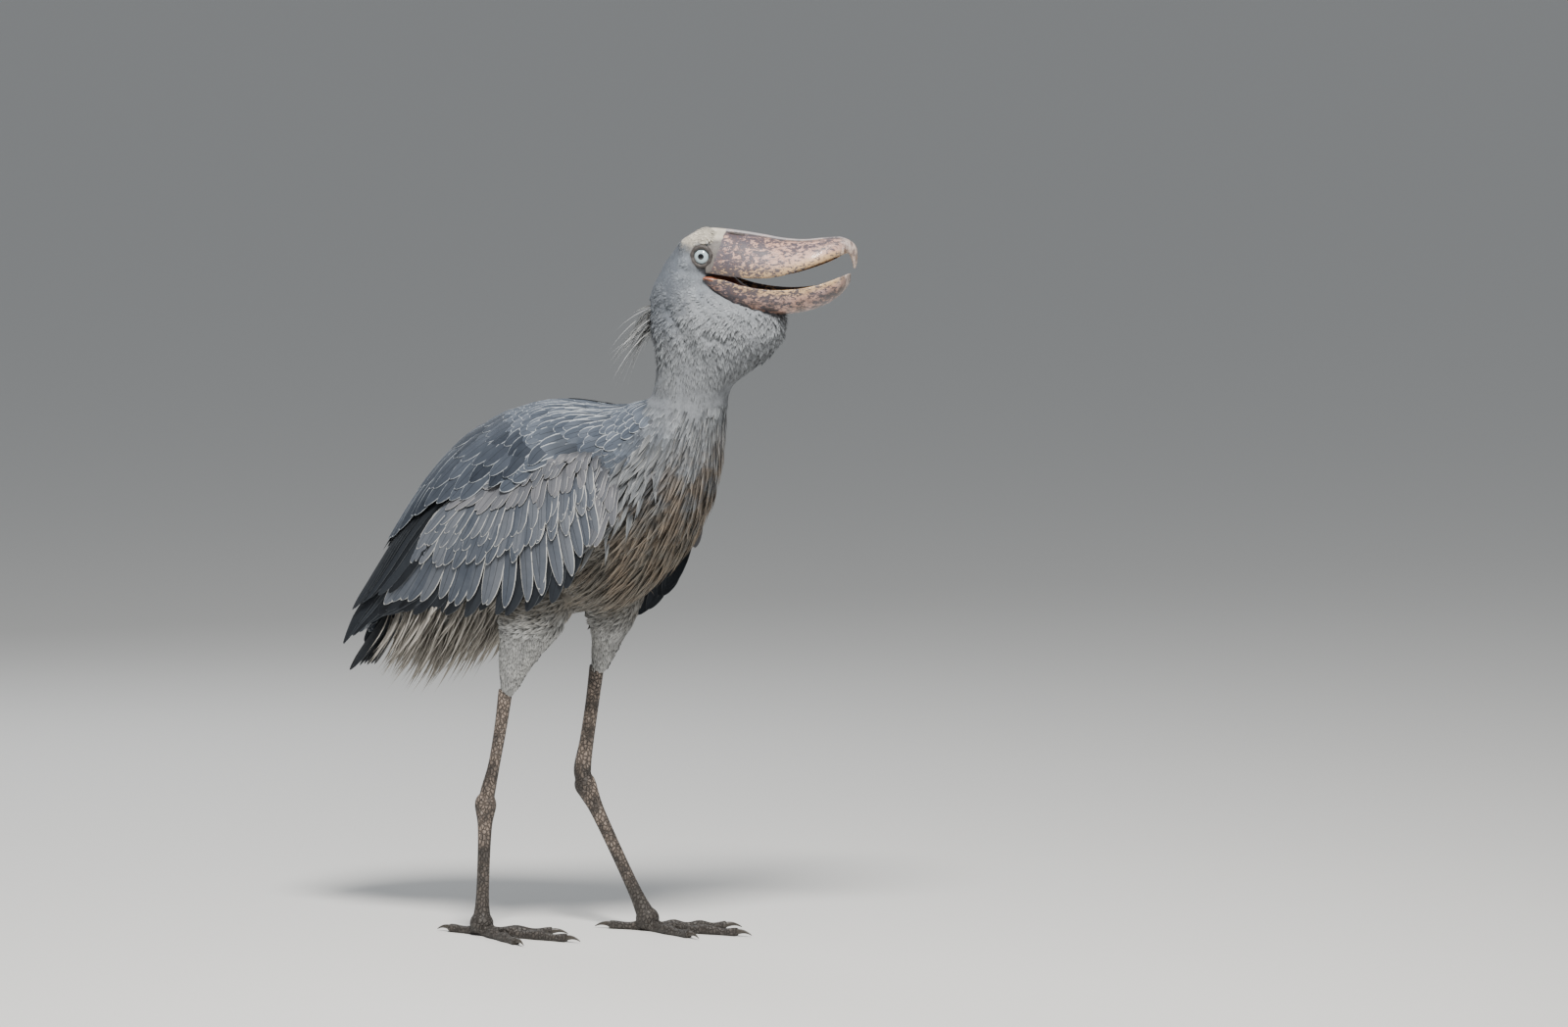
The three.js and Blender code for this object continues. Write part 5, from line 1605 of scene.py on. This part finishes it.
iris_finish = material("pale_iris", (0.6, 0.68, 0.68), 0.08, iris, coat=1.0)
lid_finish = material("bare_lid", (0.1, 0.09, 0.09), 0.55, lid_skin)
for eye_name, eye_side in (("right", -1), ("left", 1)):
    polar = np.linspace(0, np.pi * 0.999, EYE_RINGS)[:, None]
    turn_eye = np.linspace(0, 2 * np.pi, EYE_SIDES, endpoint=False)[None]
    disc = EYE_RADIUS * np.sin(polar)
    dome = EYE["w"] + EYE_BULGE * np.cos(polar) + 0 * turn_eye
    eye_t, eye_z = EYE["t"] + disc * np.cos(turn_eye), EYE["z"] + disc * np.sin(turn_eye)
    eye_rings = from_head(eye_t, eye_side * dome, eye_z)
    eye_points, eye_faces = loft(eye_rings)
    eye = new_object("eyeball_" + eye_name, eye_points, eye_faces)
    # rim is 0 at the pupil's middle and 1 at the eye's edge, and round varies round the iris.
    out_from_pupil = np.where(polar[:, 0] < np.pi / 2, np.sin(polar[:, 0]), 1.0)
    round_iris = np.abs(np.sin(turn_eye[0] * 3.0)) + np.cos(turn_eye[0])
    point_values(eye.data, "rim", np.concatenate([np.repeat(out_from_pupil, EYE_SIDES), [0, 1]]))
    point_values(eye.data, "round", np.concatenate([np.tile(round_iris, EYE_RINGS), [0, 0]]))
    finish_piece(eye, iris_finish, "eye", "eye_" + eye_name)

    lid_rings = []
    for bearing in np.linspace(0, 2 * np.pi, 60, endpoint=False):
        fold = LID["thick"] * (1 + 0.12 * math.sin(9 * bearing) + 0.25 * max(0, math.sin(bearing)))
        ring_at = LID["ring"] + fold * 0.9 * np.cos(turn)
        deep = EYE["w"] + 5.0 + fold * 0.9 * np.sin(turn)
        lid_t, lid_z = EYE["t"] + ring_at * math.cos(bearing), EYE["z"] + ring_at * math.sin(bearing)
        lid_rings.append(from_head(lid_t, eye_side * deep, lid_z))
    lid_rings = np.array(lid_rings)
    lid_faces = band_faces(*lid_rings.shape[:2], closed=True)
    lid = new_object("lid_" + eye_name, lid_rings.reshape(-1, 3), lid_faces)
    finish_piece(lid, lid_finish, "leg_skin")


# Legs, toes and claws.
# Long bare legs in dark scaly skin, thick at the ankle, with four long toes that lie flat on the floor.
# The claws are dark horn, little curved.

# Rows down the shank are [x, y, z, radius], and heading is the way the middle toe points, in degrees.
LEGS = {
    "right": {
        "shank": [[-42, -65, 390, 11.5], [-51, -66, 330, 10], [-62, -68, 270, 9.5], [-72, -70, 228, 12]],
        "ankle": [-76, -71, 206],
        "knuckle": [-73, -90, 19],
        "heading": -4,
    },
    "left": {
        "shank": [[53, 60, 422, 12], [44, 60, 360, 11], [34, 60, 300, 11.5], [26, 60, 254, 14]],
        "ankle": [31, 60, 230],
        "knuckle": [133, 80, 19],
        "heading": 5,
    },
}
# [share of the way from ankle to knuckle, radius fore and aft, radius across]
TARSUS = [
    (-0.045, 14.4, 12),
    (0.01, 18, 15),
    (0.08, 15.5, 12.8),
    (0.2, 11.9, 9.9),
    (0.5, 10.4, 9),
    (0.8, 11, 9.9),
    (0.95, 14.3, 13.5),
]
# (name, angle out from the heading, length, radius at the root, radius at the tip, joints)
TOES = [
    ("middle", 2, 158, 9.5, 6.5, 3),
    ("inner", 30, 112, 9, 6.5, 2),
    ("outer", -30, 126, 9, 6.2, 3),
    ("hind", 176, 64, 9, 6.2, 1),
]
CLAW = {"length": 25, "radius": 5.2, "curl": 5}


def ball(centre, radii):
    polar = np.linspace(0.02, np.pi - 0.02, 14)[:, None]
    spin = np.linspace(0, 2 * np.pi, 24, endpoint=False)[None]
    rings = np.stack(
        [
            centre[0] + radii[0] * np.sin(polar) * np.cos(spin),
            centre[1] + radii[1] * np.sin(polar) * np.sin(spin),
            centre[2] + radii[2] * np.cos(polar) + 0 * spin,
        ],
        -1,
    )
    return loft(rings)


def toe_frame(leg, angle, side):
    bearing = math.radians(leg["heading"] - side * angle)
    start = np.array([leg["knuckle"][0], leg["knuckle"][1], 0.0])
    ahead = np.array([math.cos(bearing), math.sin(bearing), 0.0])
    return start, ahead, np.array([-ahead[1], ahead[0], 0.0])


def toe(leg, angle, side, length, root, tip, joints):
    start, ahead, lateral = toe_frame(leg, angle, side)
    spin = np.linspace(0, 2 * np.pi, 20, endpoint=False)[:, None]
    rings = []
    for share in np.linspace(0, 1, 12 * joints + 6):
        radius = (root + (tip - root) * share) * (1 + 0.14 * math.cos(2 * math.pi * joints * share))
        centre = start + ahead * share * length + np.array([0, 0, radius * 0.86])
        ring = centre + lateral * np.cos(spin) * radius + np.array([0, 0, 1.0]) * np.sin(spin) * radius
        ring[:, 2] = np.maximum(ring[:, 2], 0.1)
        rings.append(ring)
    return loft(rings)


def claw(leg, angle, side, length):
    start, ahead, lateral = toe_frame(leg, angle, side)
    spin = np.linspace(0, 2 * np.pi, 18, endpoint=False)[:, None]
    rings = []
    for share in np.linspace(0, 1, 14):
        radius = CLAW["radius"] + (0.8 - CLAW["radius"]) * share
        height = 5.6 + CLAW["curl"] * math.sin(math.pi * share * 0.62) - 7.4 * share**2
        centre = start + ahead * (length - 4 + share * (CLAW["length"] + 4))
        centre = centre + np.array([0, 0, max(height, radius * 0.9)])
        ring = centre + lateral * np.cos(spin) * radius * 0.8 + np.array([0, 0, 1.0]) * np.sin(spin) * radius
        ring[:, 2] = np.maximum(ring[:, 2], 0.2)
        rings.append(ring)
    return loft(rings)


def scaly(n, shader):
    spot = n.spot()
    split = n.add("ShaderNodeSeparateXYZ")
    n.link(spot, split.inputs[0])
    scales = n.add("ShaderNodeTexVoronoi", feature="DISTANCE_TO_EDGE")
    n.link(n.stretched(spot, (1, 1, 0.8)), scales.inputs["Vector"])
    scales.inputs["Scale"].default_value = 175
    seam = n.step(scales.outputs["Distance"], 0.03, 0.2)
    patch = n.noise(spot, 30, 5, 0.65)
    muddy = n.rest(n.step(n.math("ADD", split.outputs[2], n.times(patch, 0.12)), 0.10, 0.26))
    colour = n.mix(n.step(patch, 0.36, 0.62), (0.055, 0.044, 0.037), (0.27, 0.21, 0.17))
    flake = n.step(n.noise(n.stretched(spot, (1, 1, 0.5)), 130, 4, 0.7), 0.5, 0.6)
    colour = n.paint(colour, (0.045, 0.037, 0.033), flake, 0.7)
    pale = n.step(n.noise(n.stretched(spot, (1, 1, 0.5)), 105, 4, 0.7), 0.56, 0.66)
    colour = n.paint(colour, (0.42, 0.35, 0.30), pale, 0.5)
    mud = n.mix(n.noise(spot, 90, 4), (0.03, 0.027, 0.025), (0.085, 0.075, 0.065))
    colour = n.paint(colour, mud, muddy, 0.9)
    colour = n.paint(colour, (0.022, 0.017, 0.014), n.rest(seam), 0.75)
    n.link(colour, shader.inputs["Base Color"])
    bumped(n, shader, n.math("ADD", seam, n.times(n.noise(spot, 500, 2), 0.3)), 0.0018, 1.0)


leg_finish = material("scaly_skin", (0.12, 0.09, 0.07), 0.6, scaly)
claw_horn = mottled((0.012, 0.011, 0.01), (0.09, 0.075, 0.06), 200, rough=0.6, bump=(600, 2, 0.0004))
claw_finish = material("claw_horn", (0.03, 0.028, 0.025), 0.4, claw_horn)
for leg_name, leg_side in (("right", -1), ("left", 1)):
    leg = LEGS[leg_name]
    ankle, knuckle = np.array(leg["ankle"], float), np.array(leg["knuckle"], float)
    tarsus_rows = [[*(ankle + (knuckle - ankle) * share), fore, across] for share, fore, across in TARSUS]
    shapes = [
        tube([[*row, row[3]] for row in leg["shank"]] + [[*leg["ankle"], 12, 11]]),
        tube(tarsus_rows),
        ball(ankle, (18, 15, 19.8)),
        ball(knuckle, (19, 19, 18.7)),
    ]
    claws, toe_nodes, claw_nodes = [], [], []
    for toe_name, angle, length, root, tip, joints in TOES:
        shapes.append(toe(leg, angle, leg_side, length, root, tip, joints))
        claws.append(claw(leg, angle, leg_side, length))
        toe_nodes.append(f"toe_{toe_name}_{leg_name}")
        claw_nodes.append(f"claw_{toe_name}_{leg_name}")
    limb = fused("leg_skin_" + leg_name, shapes, 0.0016, 5)
    finish_piece(limb, leg_finish, "leg_skin", "shank_" + leg_name, "tarsus_" + leg_name, *toe_nodes)
    claw_set = new_object("claws_" + leg_name, *joined(claws))
    finish_piece(claw_set, claw_finish, "claw", *claw_nodes)
